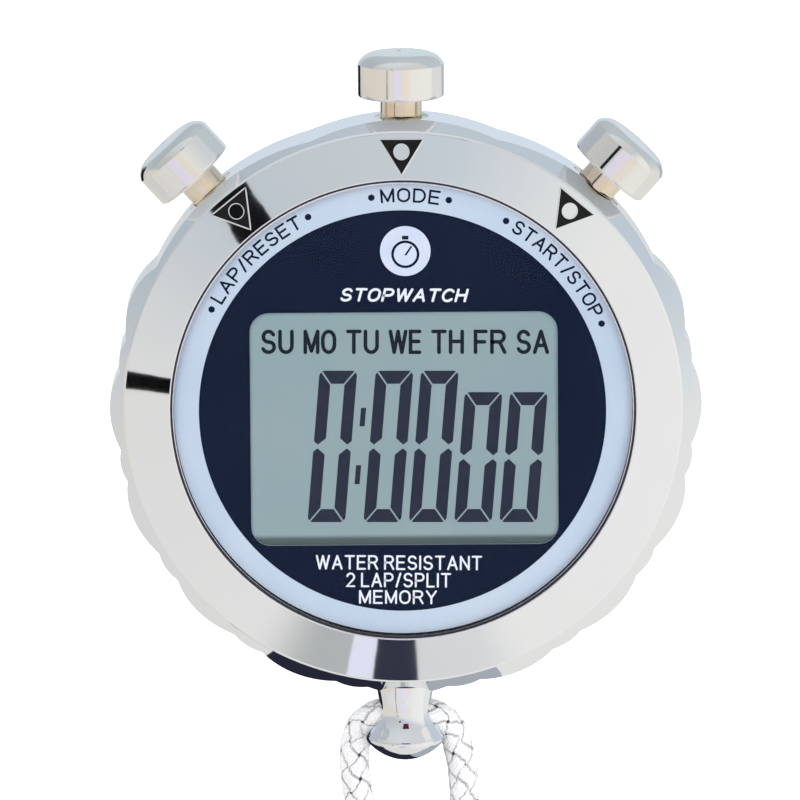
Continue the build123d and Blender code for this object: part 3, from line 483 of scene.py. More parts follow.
def make_paints():
    """One material for each of the part's material slots."""
    steel = ((0.50, 0.50, 0.51), (0.64, 0.64, 0.65))
    return {
        "chrome": finish_of("chrome", (0.86, 0.87, 0.88), (0.90, 0.90, 0.90), 0.05,
                            (0.025, 0.05), 1.0, (0.22, 0.0035)),
        "nickel": nickel_paint(),
        "brass": finish_of("brass", (0.74, 0.62, 0.47), (0.85, 0.75, 0.60), 0.3,
                           (0.06, 0.14), 1.0, (1.2, 0.003)),
        "spring_steel": finish_of("spring_steel", *steel, 1.0, (0.2, 0.32), 1.0),
        "seal_rubber": finish_of("seal_rubber", (0.010, 0.011, 0.014),
                                 (0.020, 0.021, 0.026), 1.5, (0.45, 0.6), 0.0,
                                 (6.0, 0.004)),
        "black_enamel": finish_of("black_enamel", (0.003, 0.003, 0.003),
                                  (0.010, 0.009, 0.009), 2.0, (0.4, 0.6), 0.0,
                                  (5.0, 0.01), Specular_IOR_Level=0.2),
        "dial_print": finish_of("dial_print", (0.520, 0.625, 0.745),
                                (0.565, 0.660, 0.775), 0.06, (0.4, 0.5)),
        "lcd_bezel_plastic": finish_of("lcd_bezel_plastic", (0.10, 0.13, 0.13),
                                       (0.15, 0.18, 0.18), 0.8, (0.5, 0.65)),
        "connector_rubber": finish_of("connector_rubber", (0.16, 0.20, 0.25),
                                      (0.24, 0.28, 0.33), 2.0, (0.6, 0.75)),
        "movement_plastic": finish_of("movement_plastic", (0.66, 0.66, 0.62),
                                      (0.74, 0.74, 0.71), 0.4, (0.4, 0.55)),
        "board": finish_of("board", (0.015, 0.12, 0.045), (0.03, 0.18, 0.07), 0.6,
                           (0.3, 0.45)),
        "chip_resin": finish_of("chip_resin", (0.010, 0.010, 0.011),
                                (0.025, 0.025, 0.026), 1.2, (0.35, 0.5)),
        "battery_steel": finish_of("battery_steel", *steel, 0.5, (0.15, 0.3), 1.0),
        "buzzer_brass": finish_of("buzzer_brass", (0.62, 0.48, 0.22),
                                  (0.75, 0.60, 0.32), 0.6, (0.2, 0.35), 1.0),
        "cushion_foam": finish_of("cushion_foam", (0.03, 0.03, 0.03),
                                  (0.08, 0.08, 0.08), 3.0, (0.8, 0.95), 0.0,
                                  (4.0, 0.05)),
        "ferrule_metal": finish_of("ferrule_metal", (0.62, 0.62, 0.63),
                                   (0.74, 0.74, 0.75), 0.7, (0.2, 0.34), 1.0,
                                   (1.5, 0.01)),
        "tie_strap": finish_of("tie_strap", (0.012, 0.012, 0.014),
                               (0.04, 0.04, 0.045), 3.5, (0.6, 0.8), 0.0,
                               (5.0, 0.03)),
        "navy_ink": finish_of("navy_ink", (0.0045, 0.0100, 0.0290),
                              (0.0070, 0.0130, 0.0345), 0.08, (0.45, 0.55),
                              Specular_IOR_Level=0.03),
        "white_ink": finish_of("white_ink", (0.80, 0.84, 0.95), (0.88, 0.91, 1.0),
                               0.8, (0.4, 0.5)),
        "pale_ink": finish_of("pale_ink", (0.62, 0.70, 0.86), (0.68, 0.75, 0.90),
                              0.5, (0.4, 0.5)),
        "segment_ink": finish_of("segment_ink", (0.0235, 0.0290, 0.0490),
                                 (0.0290, 0.0335, 0.0560), 0.5, (0.5, 0.6),
                                 Specular_IOR_Level=0.05),
        "letter_ink": finish_of("letter_ink", (0.010, 0.014, 0.022),
                                (0.015, 0.018, 0.028), 0.5, (0.5, 0.6),
                                Specular_IOR_Level=0.05),
        "crystal_glass": crystal_paint(),
        "lcd_film": film_paint(),
        "cover_steel": cover_paint(),
        "cord_braid": cord_paint(),
    }


PAINTS = make_paints()


def add_piece(name, mesh, paint):
    """A new piece fixed to the case, in one of the paints."""
    piece = link(name, mesh, PAINTS[paint])
    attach(piece, "root")
    return piece


def paint_nodes():
    """Gives every node of the part the material of its slot."""
    for node in NODES.values():
        for place in node.material_slots:
            place.material = PAINTS[place.material.name.split(".")[0]]


def add_return_springs():
    """The buttons' return springs, as pieces of their own fixed to the case in place of the
    part's springs.
    """
    for button, degrees in BUTTON_ANGLES.items():
        node = NODES[button + "_spring"]
        spring = link(button + "_return_spring", node.data.copy())
        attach(spring, "root")
        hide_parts(node.name)
        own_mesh(spring)


# ---------------------------------------------------------------- prints

def add_spline(curve, kind, points):
    """A new spline with these control points, in millimetres."""
    spline = curve.splines.new(kind)
    spline.points.add(len(points) - 1)
    for point, (x, y, z) in zip(spline.points, points):
        point.co = (x * MM, y * MM, z * MM, 1.0)
    return spline


def mesh_of(curve, name):
    """The mesh that a curve makes; the curve is removed."""
    source = bpy.data.objects.new(name + "_curve", curve)
    bpy.context.scene.collection.objects.link(source)
    bpy.context.view_layer.update()
    graph = bpy.context.evaluated_depsgraph_get()
    mesh = bpy.data.meshes.new_from_object(source.evaluated_get(graph))
    bpy.data.objects.remove(source)
    bpy.data.curves.remove(curve)
    mesh.name = name
    return mesh


def outline_mesh(name, outlines, z):
    """A thin plate from closed plane outlines; an outline inside another is a hole."""
    curve = bpy.data.curves.new(name, "CURVE")
    curve.dimensions = "2D"
    curve.fill_mode = "BOTH"
    curve.extrude = INK_T * MM / 2
    for outline in outlines:
        spline = add_spline(curve, "POLY", [(x, y, 0.0) for x, y in outline])
        spline.use_cyclic_u = True
    mesh = mesh_of(curve, name)
    mesh.transform(Matrix.Translation((0.0, 0.0, (z + INK_T / 2) * MM)))
    return mesh


def circle(radius, centre=(0.0, 0.0), steps=48):
    """A closed circle of plane points."""
    points = []
    for i in range(steps):
        x, y = polar(radius, 360.0 * i / steps)
        points.append((centre[0] + x, centre[1] + y))
    return points


def rounded_box(size, centre, corner, steps=10):
    """A closed rectangle with round corners."""
    half_x, half_y = size[0] / 2 - corner, size[1] / 2 - corner
    points = []
    quarters = ((half_x, half_y), (-half_x, half_y), (-half_x, -half_y), (half_x, -half_y))
    for quarter, (x, y) in enumerate(quarters):
        for i in range(steps + 1):
            dx, dy = polar(corner, 90.0 * (quarter + i / steps))
            points.append((centre[0] + x + dx, centre[1] + y + dy))
    return points


# ---------------------------------------------------------------- lettering

def arc(cx, cy, rx, ry, start, end, steps=10):
    """Points along part of an ellipse, from one angle to another."""
    points = []
    for i in range(steps + 1):
        angle = math.radians(start + (end - start) * i / steps)
        points.append((cx + rx * math.cos(angle), cy + ry * math.sin(angle)))
    return points


def ring_letter(width, corner):
    """The closed outline of a letter O with rounded ends."""
    half = width / 2
    top = arc(half, 1.0 - corner, half, corner, 0, 180)
    bottom = arc(half, corner, half, corner, 180, 360)
    return [*top, *bottom, top[0]]


# centre lines of plain round-ended capitals, one unit high: width, strokes
LETTERS = {
    "A": (0.68, [[(0, 0), (0.34, 1)], [(0.34, 1), (0.68, 0)], [(0.13, 0.33), (0.55, 0.33)]]),
    "C": (0.64, [arc(0.36, 0.5, 0.36, 0.5, 42, 318, 16)]),
    "D": (0.66, [[(0, 0), (0, 1), (0.28, 1), *arc(0.3, 0.5, 0.36, 0.5, 90, -90), (0, 0)]]),
    "E": (0.56, [[(0.56, 1), (0, 1), (0, 0), (0.56, 0)], [(0, 0.52), (0.50, 0.52)]]),
    "F": (0.52, [[(0.52, 1), (0, 1), (0, 0)], [(0, 0.50), (0.45, 0.50)]]),
    "H": (0.62, [[(0, 0), (0, 1)], [(0.62, 0), (0.62, 1)], [(0, 0.52), (0.62, 0.52)]]),
    "I": (0.02, [[(0.01, 0), (0.01, 1)]]),
    "L": (0.50, [[(0, 1), (0, 0), (0.50, 0)]]),
    "M": (0.72, [[(0, 0), (0, 1)], [(0, 1), (0.36, 0.06)], [(0.36, 0.06), (0.72, 1)],
                 [(0.72, 1), (0.72, 0)]]),
    "N": (0.62, [[(0, 0), (0, 1)], [(0, 1), (0.62, 0)], [(0.62, 0), (0.62, 1)]]),
    "O": (0.68, [ring_letter(0.68, 0.38)]),
    "P": (0.60, [[(0, 0), (0, 1), (0.34, 1),
                  *arc(0.34, 0.73, 0.26, 0.27, 90, -90), (0, 0.46)]]),
    "R": (0.64, [[(0, 0), (0, 1), (0.36, 1),
                  *arc(0.36, 0.75, 0.25, 0.25, 90, -90), (0, 0.50)],
                 [(0.38, 0.50), (0.64, 0)]]),
    "S": (0.60, [[*arc(0.30, 0.745, 0.27, 0.255, 22, 250),
                  *arc(0.30, 0.25, 0.30, 0.25, 70, -160)]]),
    "T": (0.64, [[(0, 1), (0.64, 1)], [(0.32, 1), (0.32, 0)]]),
    "U": (0.62, [[(0, 1), (0, 0.32), *arc(0.31, 0.31, 0.31, 0.31, 180, 360), (0.62, 1)]]),
    "W": (0.94, [[(0, 1), (0.235, 0)], [(0.235, 0), (0.47, 1)], [(0.47, 1), (0.705, 0)],
                 [(0.705, 0), (0.94, 1)]]),
    "Y": (0.66, [[(0, 1), (0.33, 0.46), (0.66, 1)], [(0.33, 0.46), (0.33, 0)]]),
    "2": (0.56, [[*arc(0.28, 0.72, 0.27, 0.28, 165, -38), (0, 0), (0.56, 0)]]),
    "/": (0.30, [[(0, -0.02), (0.30, 1.02)]]),
}
LETTER_GAP = 0.30
SPACE = 0.30
STROKE_LIFT = 0.0006              # keeps crossing strokes apart
CAP_STEPS = 6
MITRE_LIMIT = 0.6


def ribbon(points, half, z, vertices, faces):
    """Adds a flat round-ended stroke along the points to a mesh's lists."""
    closed = math.dist(points[0], points[-1]) < 1e-6
    if closed:
        points = points[:-1]
    count = len(points)
    first = len(vertices)
    headings = []
    for i, (x, y) in enumerate(points):
        before = points[i - 1] if i or closed else points[0]
        after = points[(i + 1) % count] if i < count - 1 or closed else points[-1]
        heading_in = Vector((x - before[0], y - before[1]))
        heading_out = Vector((after[0] - x, after[1] - y))
        heading_in = heading_in if heading_in.length else heading_out
        heading_out = heading_out if heading_out.length else heading_in
        mean = (heading_in.normalized() + heading_out.normalized()).normalized()
        widen = 1.0 / max(MITRE_LIMIT, mean.dot(heading_in.normalized()))
        headings.append(mean)
        across = Vector((-mean.y, mean.x)) * half * widen
        vertices.append(((x + across.x) * MM, (y + across.y) * MM, z * MM))
        vertices.append(((x - across.x) * MM, (y - across.y) * MM, z * MM))
    for i in range(count if closed else count - 1):
        a = first + 2 * i
        b = first + 2 * ((i + 1) % count)
        faces.append((a, a + 1, b + 1, b))
    if closed:
        return
    for (x, y), heading, sign in ((points[0], headings[0], -1), (points[-1], headings[-1], 1)):
        start = math.degrees(math.atan2(heading.y * sign, heading.x * sign)) - 90.0
        cap = []
        for step in range(CAP_STEPS + 1):
            dx, dy = polar(half, start + 180.0 * step / CAP_STEPS)
            cap.append(len(vertices))
            vertices.append(((x + dx) * MM, (y + dy) * MM, z * MM))
        faces.append(tuple(cap))


def words_width(words):
    """Length of the words for letters one unit high."""
    width = 0.0
    for letter in words:
        width += SPACE if letter == " " else LETTERS[letter][0] + LETTER_GAP
    return width - LETTER_GAP


def words_mesh(name, words, place, half, z):
    """The words as flat strokes; place maps 0 to 1 along and 0 to 1 up to the plane."""
    total = words_width(words)
    vertices, faces = [], []
    at = 0.0
    for letter in words:
        if letter == " ":
            at += SPACE
            continue
        width, strokes = LETTERS[letter]
        for number, stroke in enumerate(strokes):
            points = [place((at + x) / total, y) for x, y in stroke]
            ribbon(points, half, z + number * STROKE_LIFT, vertices, faces)
        at += width + LETTER_GAP
    mesh = bpy.data.meshes.new(name)
    mesh.from_pydata(vertices, [], faces)
    mesh.update()
    return mesh


def straight(x_span, y_span, half, turn, shear=0.0):
    """Places words in a box, turned about the dial's middle."""
    width = x_span[1] - x_span[0] - 2 * half
    height = y_span[1] - y_span[0] - 2 * half

    def place(u, v):
        lean = shear * height * (v - 0.5)
        x = x_span[0] + half + u * width + lean
        return turned(x, y_span[0] + half + v * height, turn)

    return place


def round_dial(radius, height, half, start, end):
    """Places words clockwise round the dial."""
    def place(u, v):
        return polar(radius + half + v * (height - 2 * half), start + u * (end - start))

    return place


def add_dial_prints():
    """The navy centre with its window, and the words with their dots."""
    base = top_of("dial_plate") + INK_GAP
    window = rounded_box(DIAL_WINDOW, DIAL_WINDOW_CENTRE, DIAL_WINDOW_CORNER)
    rim = circle(DIAL_PRINT_R, DIAL_PRINT_CENTRE, 180)
    disc = outline_mesh("dial_disc_print", [rim, window], base)
    add_piece("dial_disc_print", disc, "navy_ink")
    words_z = base + INK_T + INK_GAP / 2
    for name, words, x_span, y_span, half, shear in DIAL_LINES:
        place = straight(x_span, y_span, half, DIAL_TURN, shear)
        mesh = words_mesh(name, words, place, half, words_z)
        add_piece(name, mesh, "white_ink")
    for name, words, start, end in RING_LINES:
        start, end = start + DIAL_TURN, end + DIAL_TURN
        place = round_dial(RING_WORDS_R, RING_WORDS_HEIGHT, RING_STROKE, start, end)
        mesh = words_mesh(name, words, place, RING_STROKE, words_z)
        add_piece(name, mesh, "navy_ink")
        dots = []
        for angle in (start + RING_DOT_TURN, end - RING_DOT_TURN):
            dots.append(circle(RING_DOT_R, polar(RING_DOT_S, angle), 20))
        mesh = outline_mesh(name + "_dots", dots, words_z)
        add_piece(name + "_dots", mesh, "navy_ink")


def add_sign(z):
    """A plain round sign: a small stopwatch in outline on a pale disc."""
    x, y = turned(*SIGN_CENTRE, DIAL_TURN)
    disc = outline_mesh("sign_disc", [circle(SIGN_R, (x, y), 64)], z)
    add_piece("sign_disc", disc, "pale_ink")
    marks = [circle(radius, (x, y + SIGN_RING_Y), 48) for radius in SIGN_RING]
    for outline in (SIGN_CROWN, SIGN_HAND):
        marks.append([(x + u, y + v) for u, v in outline])
    mesh = outline_mesh("sign_marks", marks, z + INK_T + INK_GAP / 2)
    add_piece("sign_marks", mesh, "navy_ink")


# ---------------------------------------------------------------- display

def mirrored(outline, width):
    """An outline with left and right changed over."""
    return [(width - x, y) for x, y in reversed(outline)]


def digit_outlines(height):
    """The six lit segments of a nought, upright, with its foot at the origin."""
    half = height / 2
    bar, cap, gap = DIGIT_BAR, DIGIT_CAP, DIGIT_MID_GAP
    width = DIGIT_W
    top = [
        (0.30, height - 0.06), (0.50, height), (width - 0.50, height),
        (width - 0.30, height - 0.06), (width - bar - 0.08, height - cap),
        (bar + 0.08, height - cap),
    ]
    upper = [
        (0.0, height - 0.55), (0.06, height - 0.33), (0.20, height - 0.20),
        (bar, height - cap - 0.16), (bar, half + gap + 0.70), (0.45, half + gap),
        (0.0, half + gap + 0.37),
    ]
    bottom = [(x, height - y) for x, y in reversed(top)]
    lower = [(x, height - y) for x, y in reversed(upper)]
    outlines = [top, upper, lower, bottom]
    outlines += [mirrored(upper, width), mirrored(lower, width)]
    return outlines


def slanted(outline, x, y):
    """Leans an outline to the right and sets its foot at x, y."""
    placed = []
    for u, v in outline:
        placed.append(turned(x + u + v * DIGIT_SLANT, y + v, DISPLAY_TURN))
    return placed


def add_display():
    """The lit segments, the colon and the row of weekday names."""
    base = top_of("lcd_polarizer") + INK_GAP
    number = 0
    for places, height in ((TALL_DIGITS_X, DIGIT_TALL), (SHORT_DIGITS_X, DIGIT_SHORT)):
        for x in places:
            number += 1
            outlines = [slanted(o, x, DIGIT_BASE_Y) for o in digit_outlines(height)]
            mesh = outline_mesh(f"digit_{number}", outlines, base)
            add_piece(f"digit_{number}", mesh, "segment_ink")
    bars = []
    for x, y, height in COLON:
        bar = [(-COLON_W / 2, 0.0), (COLON_W / 2, 0.0), (COLON_W / 2, height),
               (-COLON_W / 2, height)]
        bars.append(slanted(bar, x, y))
    add_piece("colon", outline_mesh("colon", bars, base), "segment_ink")
    for i, day in enumerate(WEEKDAYS):
        x = WEEKDAY_X + i * WEEKDAY_PITCH
        half = WEEKDAY_STROKE / 2
        place = straight((x, x + WEEKDAY_W), WEEKDAY_Y, half, DISPLAY_TURN)
        mesh = words_mesh(f"weekday_{i + 1}", day, place, half, base)
        add_piece(f"weekday_{i + 1}", mesh, "letter_ink")


# ---------------------------------------------------------------- marker edging

def face_height(radius):
    """Height of the conical face at a radius."""
    return FACE_INNER[1] - (radius - FACE_INNER[0]) * FACE_SLOPE


def wire_loop(name, points, radius):
    """A thin closed bead lying on the conical face."""
    curve = bpy.data.curves.new(name, "CURVE")
    curve.dimensions = "3D"
    curve.bevel_depth = radius * MM
    curve.bevel_resolution = 2
    on_face = [(x, y, face_height(math.hypot(x, y))) for x, y in points]
    add_spline(curve, "POLY", on_face).use_cyclic_u = True
    mesh = mesh_of(curve, name)
    for polygon in mesh.polygons:
        polygon.use_smooth = True
    return mesh


def add_marker_edges():
    """The fine raised edging round each triangle and round the dot in it."""
    for number, angle in enumerate(MARKER_ANGLES, 1):
        corners = (
            (MARKER_BASE_R, -MARKER_SIDE / 2),
            (MARKER_BASE_R, MARKER_SIDE / 2),
            (MARKER_APEX_R, 0.0),
        )
        points = []
        for i, (along, across) in enumerate(corners):
            after = corners[(i + 1) % len(corners)]
            for step in range(MARKER_SIDE_STEPS):
                f = step / MARKER_SIDE_STEPS
                u = along + (after[0] - along) * f
                v = across + (after[1] - across) * f
                points.append(turned(u, v, angle))
        dot = circle(MARKER_DOT_R, polar(MARKER_DOT_S, angle), 36)
        beads = (("edge", points, EDGE_BEAD_R), ("dot_edge", dot, DOT_BEAD_R))
        for label, loop, radius in beads:
            name = f"marker_{label}_{number}"
            add_piece(name, wire_loop(name, loop, radius), "chrome")


# ---------------------------------------------------------------- lanyard

def tie_press(angle):
    """How far the strap squeezes a layer at a polar angle, from 0 to 1."""
    away = abs(angle % 360.0 - 180.0)
    return smooth(1.0 - away / TIE_HALF_ANGLE)


def coil_point(radius, turn, z):
    """A point of the coil, which winds clockwise from the right."""
    angle = -360.0 * turn
    x, y = polar(radius, angle)
    return COIL_CENTRE[0] + x, COIL_CENTRE[1] + y, z


def left_coil():
    """The lower layer: turns inwards, then straight into the sleeve."""
    points = []
    steps = int(COIL_TURNS * POINTS_PER_TURN)
    for i in range(steps + 1):
        turn = i / POINTS_PER_TURN
        late = smooth((turn - LEFT_SHIFT[0]) / LEFT_SHIFT[1])
        radius = COIL_START_R - COIL_PITCH * turn - LEFT_SHIFT[2] * late
        press = tie_press(-360.0 * turn)
        z = LEFT_Z + TIE_SQUEEZE * press + (FERRULE_Z - LEFT_Z) * late
        points.append(coil_point(radius, turn, z))
    for radius, turn in LEFT_ENTRY:
        points.append(coil_point(radius, turn, FERRULE_Z))
    cx, cy = COIL_CENTRE
    for x in LEFT_RUN_X:
        points.append((cx + x, cy + LEFT_FERRULE_Y, FERRULE_Z))
    return points


def right_coil():
    """The upper layer: it drops inside the coil and into the sleeve beside the other."""
    points = []
    steps = int(COIL_TURNS * POINTS_PER_TURN)
    for i in range(steps + 1):
        turn = i / POINTS_PER_TURN
        inwards = smooth((turn - RIGHT_SHIFT[0]) / RIGHT_SHIFT[1])
        radius = COIL_START_R - COIL_PITCH * turn - RIGHT_SHIFT[2] * inwards
        press = tie_press(-360.0 * turn) * (1.0 - inwards)
        drop = smooth((turn - RIGHT_DROP[0]) / RIGHT_DROP[1])
        z = RIGHT_Z - TIE_SQUEEZE * press - (RIGHT_Z - FERRULE_Z) * drop
        points.append(coil_point(radius, turn, z))
    for radius, turn, z in RIGHT_ENTRY:
        points.append(coil_point(radius, turn, z))
    cx, cy = COIL_CENTRE
    for x in RIGHT_RUN_X:
        points.append((cx + x, cy + RIGHT_FERRULE_Y, FERRULE_Z))
    return points


def cord_line(name, points):
    """Points along one open curve through the route, evenly close together."""
    curve = bpy.data.curves.new(name, "CURVE")
    curve.dimensions = "3D"
    curve.resolution_u = 24
    spline = add_spline(curve, "NURBS", points)
    spline.order_u = 3
    spline.use_endpoint_u = True
    mesh = mesh_of(curve, name)
    line = [vertex.co.copy() for vertex in mesh.vertices]
    bpy.data.meshes.remove(mesh)
    return even_points(line, BRAID_STEP * MM)


def even_points(line, step):
    """The same line with its points one step apart."""
    lengths = [0.0]
    for a, b in zip(line, line[1:]):
        lengths.append(lengths[-1] + (b - a).length)
    count = max(2, round(lengths[-1] / step))
    points = []
    i = 0
    for k in range(count + 1):
        target = lengths[-1] * k / count
        while i < len(line) - 2 and lengths[i + 1] < target:
            i += 1
        span = lengths[i + 1] - lengths[i]
        f = 0.0 if span == 0.0 else (target - lengths[i]) / span
        points.append(line[i].lerp(line[i + 1], min(max(f, 0.0), 1.0)))
    return points


def strand_round(phase):
    """Height of a strand across its width."""
    return math.sqrt(abs(math.cos(phase / 2)))


def braid_height(around, along):
    """Height of the braid from 0 to 1 and the phase of the yarns of the upper strand."""
    rise = 2.0 * math.pi * along / BRAID_PITCH
    first = STRANDS * around + rise
    second = STRANDS * around - rise
    weave = math.cos(first / 2) * math.cos(second / 2)
    over = 0.5 + 0.5 * max(-1.0, min(1.0, CROSSING_SHARPNESS * weave))
    a = strand_round(first) * (1.0 - STRAND_DIP * (1.0 - over))
    b = strand_round(second) * (1.0 - STRAND_DIP * over)
    if a >= b:
        return a, first
    return b, second


def braided_mesh(name, line):
    """A tube along the line with the strands raised on it."""
    radius = CORD_D / 2
    up = Vector((0.0, 0.0, 1.0))
    vertices, faces, heights, phases = [], [], [], []
    side = None
    for i, point in enumerate(line):
        ahead = line[min(i + 1, len(line) - 1)]
        behind = line[max(i - 1, 0)]
        tangent = (ahead - behind).normalized()
        if side is None:
            side = tangent.cross(up).normalized()
        side = (side - tangent * side.dot(tangent)).normalized()
        other = tangent.cross(side)
        along = i * BRAID_STEP
        for k in range(BRAID_SIDES):
            angle = 2.0 * math.pi * k / BRAID_SIDES
            height, phase = braid_height(angle, along)
            r = (radius - BRAID_DEPTH * (1.0 - height)) * MM
            across = side * (r * math.cos(angle))
            vertices.append(point + across + other * (r * math.sin(angle)))
            heights.append(height)
            phases.append(phase * YARNS)
    rings = len(line)
    for i in range(rings - 1):
        for k in range(BRAID_SIDES):
            a = i * BRAID_SIDES + k
            b = i * BRAID_SIDES + (k + 1) % BRAID_SIDES
            faces.append((a, b, b + BRAID_SIDES, a + BRAID_SIDES))
    faces.append(tuple(range(BRAID_SIDES))[::-1])
    last = (rings - 1) * BRAID_SIDES
    faces.append(tuple(range(last, last + BRAID_SIDES)))
    mesh = bpy.data.meshes.new(name)
    mesh.from_pydata(vertices, [], faces)
    for label, values in (("braid_height", heights), ("yarn_phase", phases)):
        attribute = mesh.attributes.new(label, "FLOAT", "POINT")
        attribute.data.foreach_set("value", values)
    for polygon in mesh.polygons:
        polygon.use_smooth = True
    mesh.update()
    return mesh


def add_cord(name, route, replaced):
    """One half of the lanyard, from the pendant's hole to the sleeve."""
    line = cord_line(name, route)
    piece = add_piece(name, braided_mesh(name, line), "cord_braid")
    piece.visible_glossy = False      # the cord stays out of the chrome's reflections
    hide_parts(*replaced)


def add_lanyard():
    """Both halves of the neck cord, with the sleeve and the tie on the first."""
    add_cord("cord_left", [*LEFT_ARM, *left_coil()],
             ("lanyard_left", "lanyard_coil"))
    add_cord("cord_right", [*RIGHT_ARM, *right_coil()],
             ("lanyard_right",))


# ---------------------------------------------------------------- studio

def glow(name, colour):
    """An even glowing material for studio cards."""
    material = bpy.data.materials.new(name)
    tree = Tree(material)
    tree.nodes.clear()
    inputs = {"Color": (*colour, 1.0), "Strength": 1.0}
    emission = tree.add("ShaderNodeEmission", inputs).outputs["Emission"]
    tree.add("ShaderNodeOutputMaterial", {"Surface": emission})
    return material


def card(name, centre, side, up, size, colour):
    """A flat card seen only in the object's reflections; side and up are its edges."""
    half_side = Vector(side).normalized() * size[0] / 2
    half_up = Vector(up).normalized() * size[1] / 2
    corners = []
    for a, b in ((-1, -1), (1, -1), (1, 1), (-1, 1)):
        corners.append((Vector(centre) + half_side * a + half_up * b) * MM)
    mesh = bpy.data.meshes.new(name)
    mesh.from_pydata(corners, [], [(0, 1, 2, 3)])
    hide_from_camera(link(name, mesh, glow(name + "_glow", colour)))


def hide_from_camera(piece):
    """Keeps a card to the reflections."""
    piece.visible_camera = False
    piece.visible_diffuse = False
    piece.visible_shadow = False
    piece.visible_transmission = False


def view_direction():
    """The direction from the dial to the camera."""
    tilt = math.radians(TILT)
    return Vector((0.0, math.sin(tilt), math.cos(tilt)))


def face_mirror(angle):
    """Where the conical face reflects the camera's sight at a polar angle."""
    x, y = polar(math.sin(math.radians(FACE_TILT)), angle)
    normal = Vector((x, y, math.cos(math.radians(FACE_TILT))))
    view = view_direction()
    mirrored_ray = 2.0 * normal.dot(view) * normal - view
    x, y = polar(FACE_MID_R, angle)
    return Vector((x, y, face_height(FACE_MID_R))), mirrored_ray


def face_card(name, first, last, colour):
    """A card that shows in the conical face between two polar angles."""
    ends = []
    for angle in (first, last):
        spot, ray = face_mirror(angle)
        ends.append(spot + ray * CARD_DISTANCE)
    centre = (ends[0] + ends[1]) / 2
    side = ends[1] - ends[0]
    spot, ray = face_mirror((first + last) / 2)
    card(name, centre, side, ray.cross(side), (side.length, CARD_HEIGHT), colour)


def ground_card(name, x_span, colour):
    """A card lying just over the floor, in front of the case."""
    low, high = GROUND_CARD_Y
    centre = ((x_span[0] + x_span[1]) / 2, (low + high) / 2, GROUND_CARD_Z)
    card(name, centre, (1, 0, 0), (0, 1, 0), (x_span[1] - x_span[0], high - low), colour)


def add_floor():
    """A white floor that the object stands on; the chrome doesn't show it."""
    half = FLOOR_HALF * MM
    mesh = bpy.data.meshes.new("floor")
    corners = ((-half, -half, 0), (half, -half, 0), (half, half, 0), (-half, half, 0))
    mesh.from_pydata(corners, [], [(0, 1, 2, 3)])
    paint = Paint("floor_white")
    paint.set(
        Base_Color=(0.9, 0.9, 0.9, 1.0),
        Roughness=0.9,
        Specular_IOR_Level=0.0,
        Emission_Color=(1.0, 1.0, 1.0, 1.0),
        Emission_Strength=0.8,
    )
    floor = link("floor", mesh, paint.material)
    floor.location.z = FLOOR_Z * MM
    floor.visible_glossy = False


class Sky(Tree):
    """The room: its colour in each direction."""

    def __init__(self, name):
        self.world = bpy.data.worlds.new(name)
        super().__init__(self.world)
        self.direction = self.add("ShaderNodeTexCoord", {}).outputs["Generated"]

    def along(self, axis):
        """How far a direction points along an axis, from -1 to 1."""
        return self.vector("DOT_PRODUCT", self.direction, axis, result="Value")

    def bands(self, axis, stops):
        """Colours along an axis, at positions from -1 to 1."""
        halved = [((position + 1.0) / 2, colour) for position, colour in stops]
        return self.ramp(self.spread(self.along(axis), (-1.0, 1.0)), halved)

    def patch(self, colour, tint, spans, edge):
        """Lays a tint over a box of directions."""
        share = 1.0
        for axis, (low, high) in zip(((1, 0, 0), (0, 1, 0), (0, 0, 1)), spans):
            value = self.along(axis)
            rise = self.spread(value, (low - edge, low), soft=True)
            fall = self.spread(value, (high, high + edge), (1.0, 0.0), soft=True)
            share = self.math("MULTIPLY", share, self.math("MULTIPLY", rise, fall))
        return self.mix(share, colour, (*tint, 1.0))


# Parts of the room: colour, then the spans of direction it fills along x, y and z, and
# how softly it ends.
ROOM_PATCHES = (
    ((0.50, 0.515, 0.515), (-0.17, -0.02), (-1.0, -0.62), (0.4, 1.0), 0.13),
    ((0.73, 0.74, 0.75), (0.04, 0.14), (-1.0, -0.62), (0.4, 1.0), 0.10),
    ((0.87, 0.82, 0.75), (-0.35, 0.35), (-0.45, 0.10), (0.0, 1.0), 0.05),
    ((0.88, 0.83, 0.75), (-1.0, -0.61), (-0.35, 0.0), (-0.45, 0.76), 0.04),
    ((0.86, 0.83, 1.00), (-0.30, 0.08), (-0.50, 0.12), (0.0, 1.0), 0.015),
    ((0.12, 0.12, 0.12), (-0.605, -0.585), (-0.50, -0.16), (0.0, 1.0), 0.01),
    ((0.10, 0.02, 0.03), (-0.16, 0.20), (0.50, 0.72), (0.5, 1.0), 0.03),
    ((0.015, 0.016, 0.02), (-1.0, -0.30), (-0.40, 0.10), (-0.90, -0.72), 0.02),
    ((0.45, 0.52, 0.62), (0.30, 1.0), (-0.40, 0.10), (-0.90, -0.74), 0.02),
    ((0.68, 0.77, 0.86), (-0.6, 0.6), (0.08, 0.45), (-1.0, -0.88), 0.10),
)


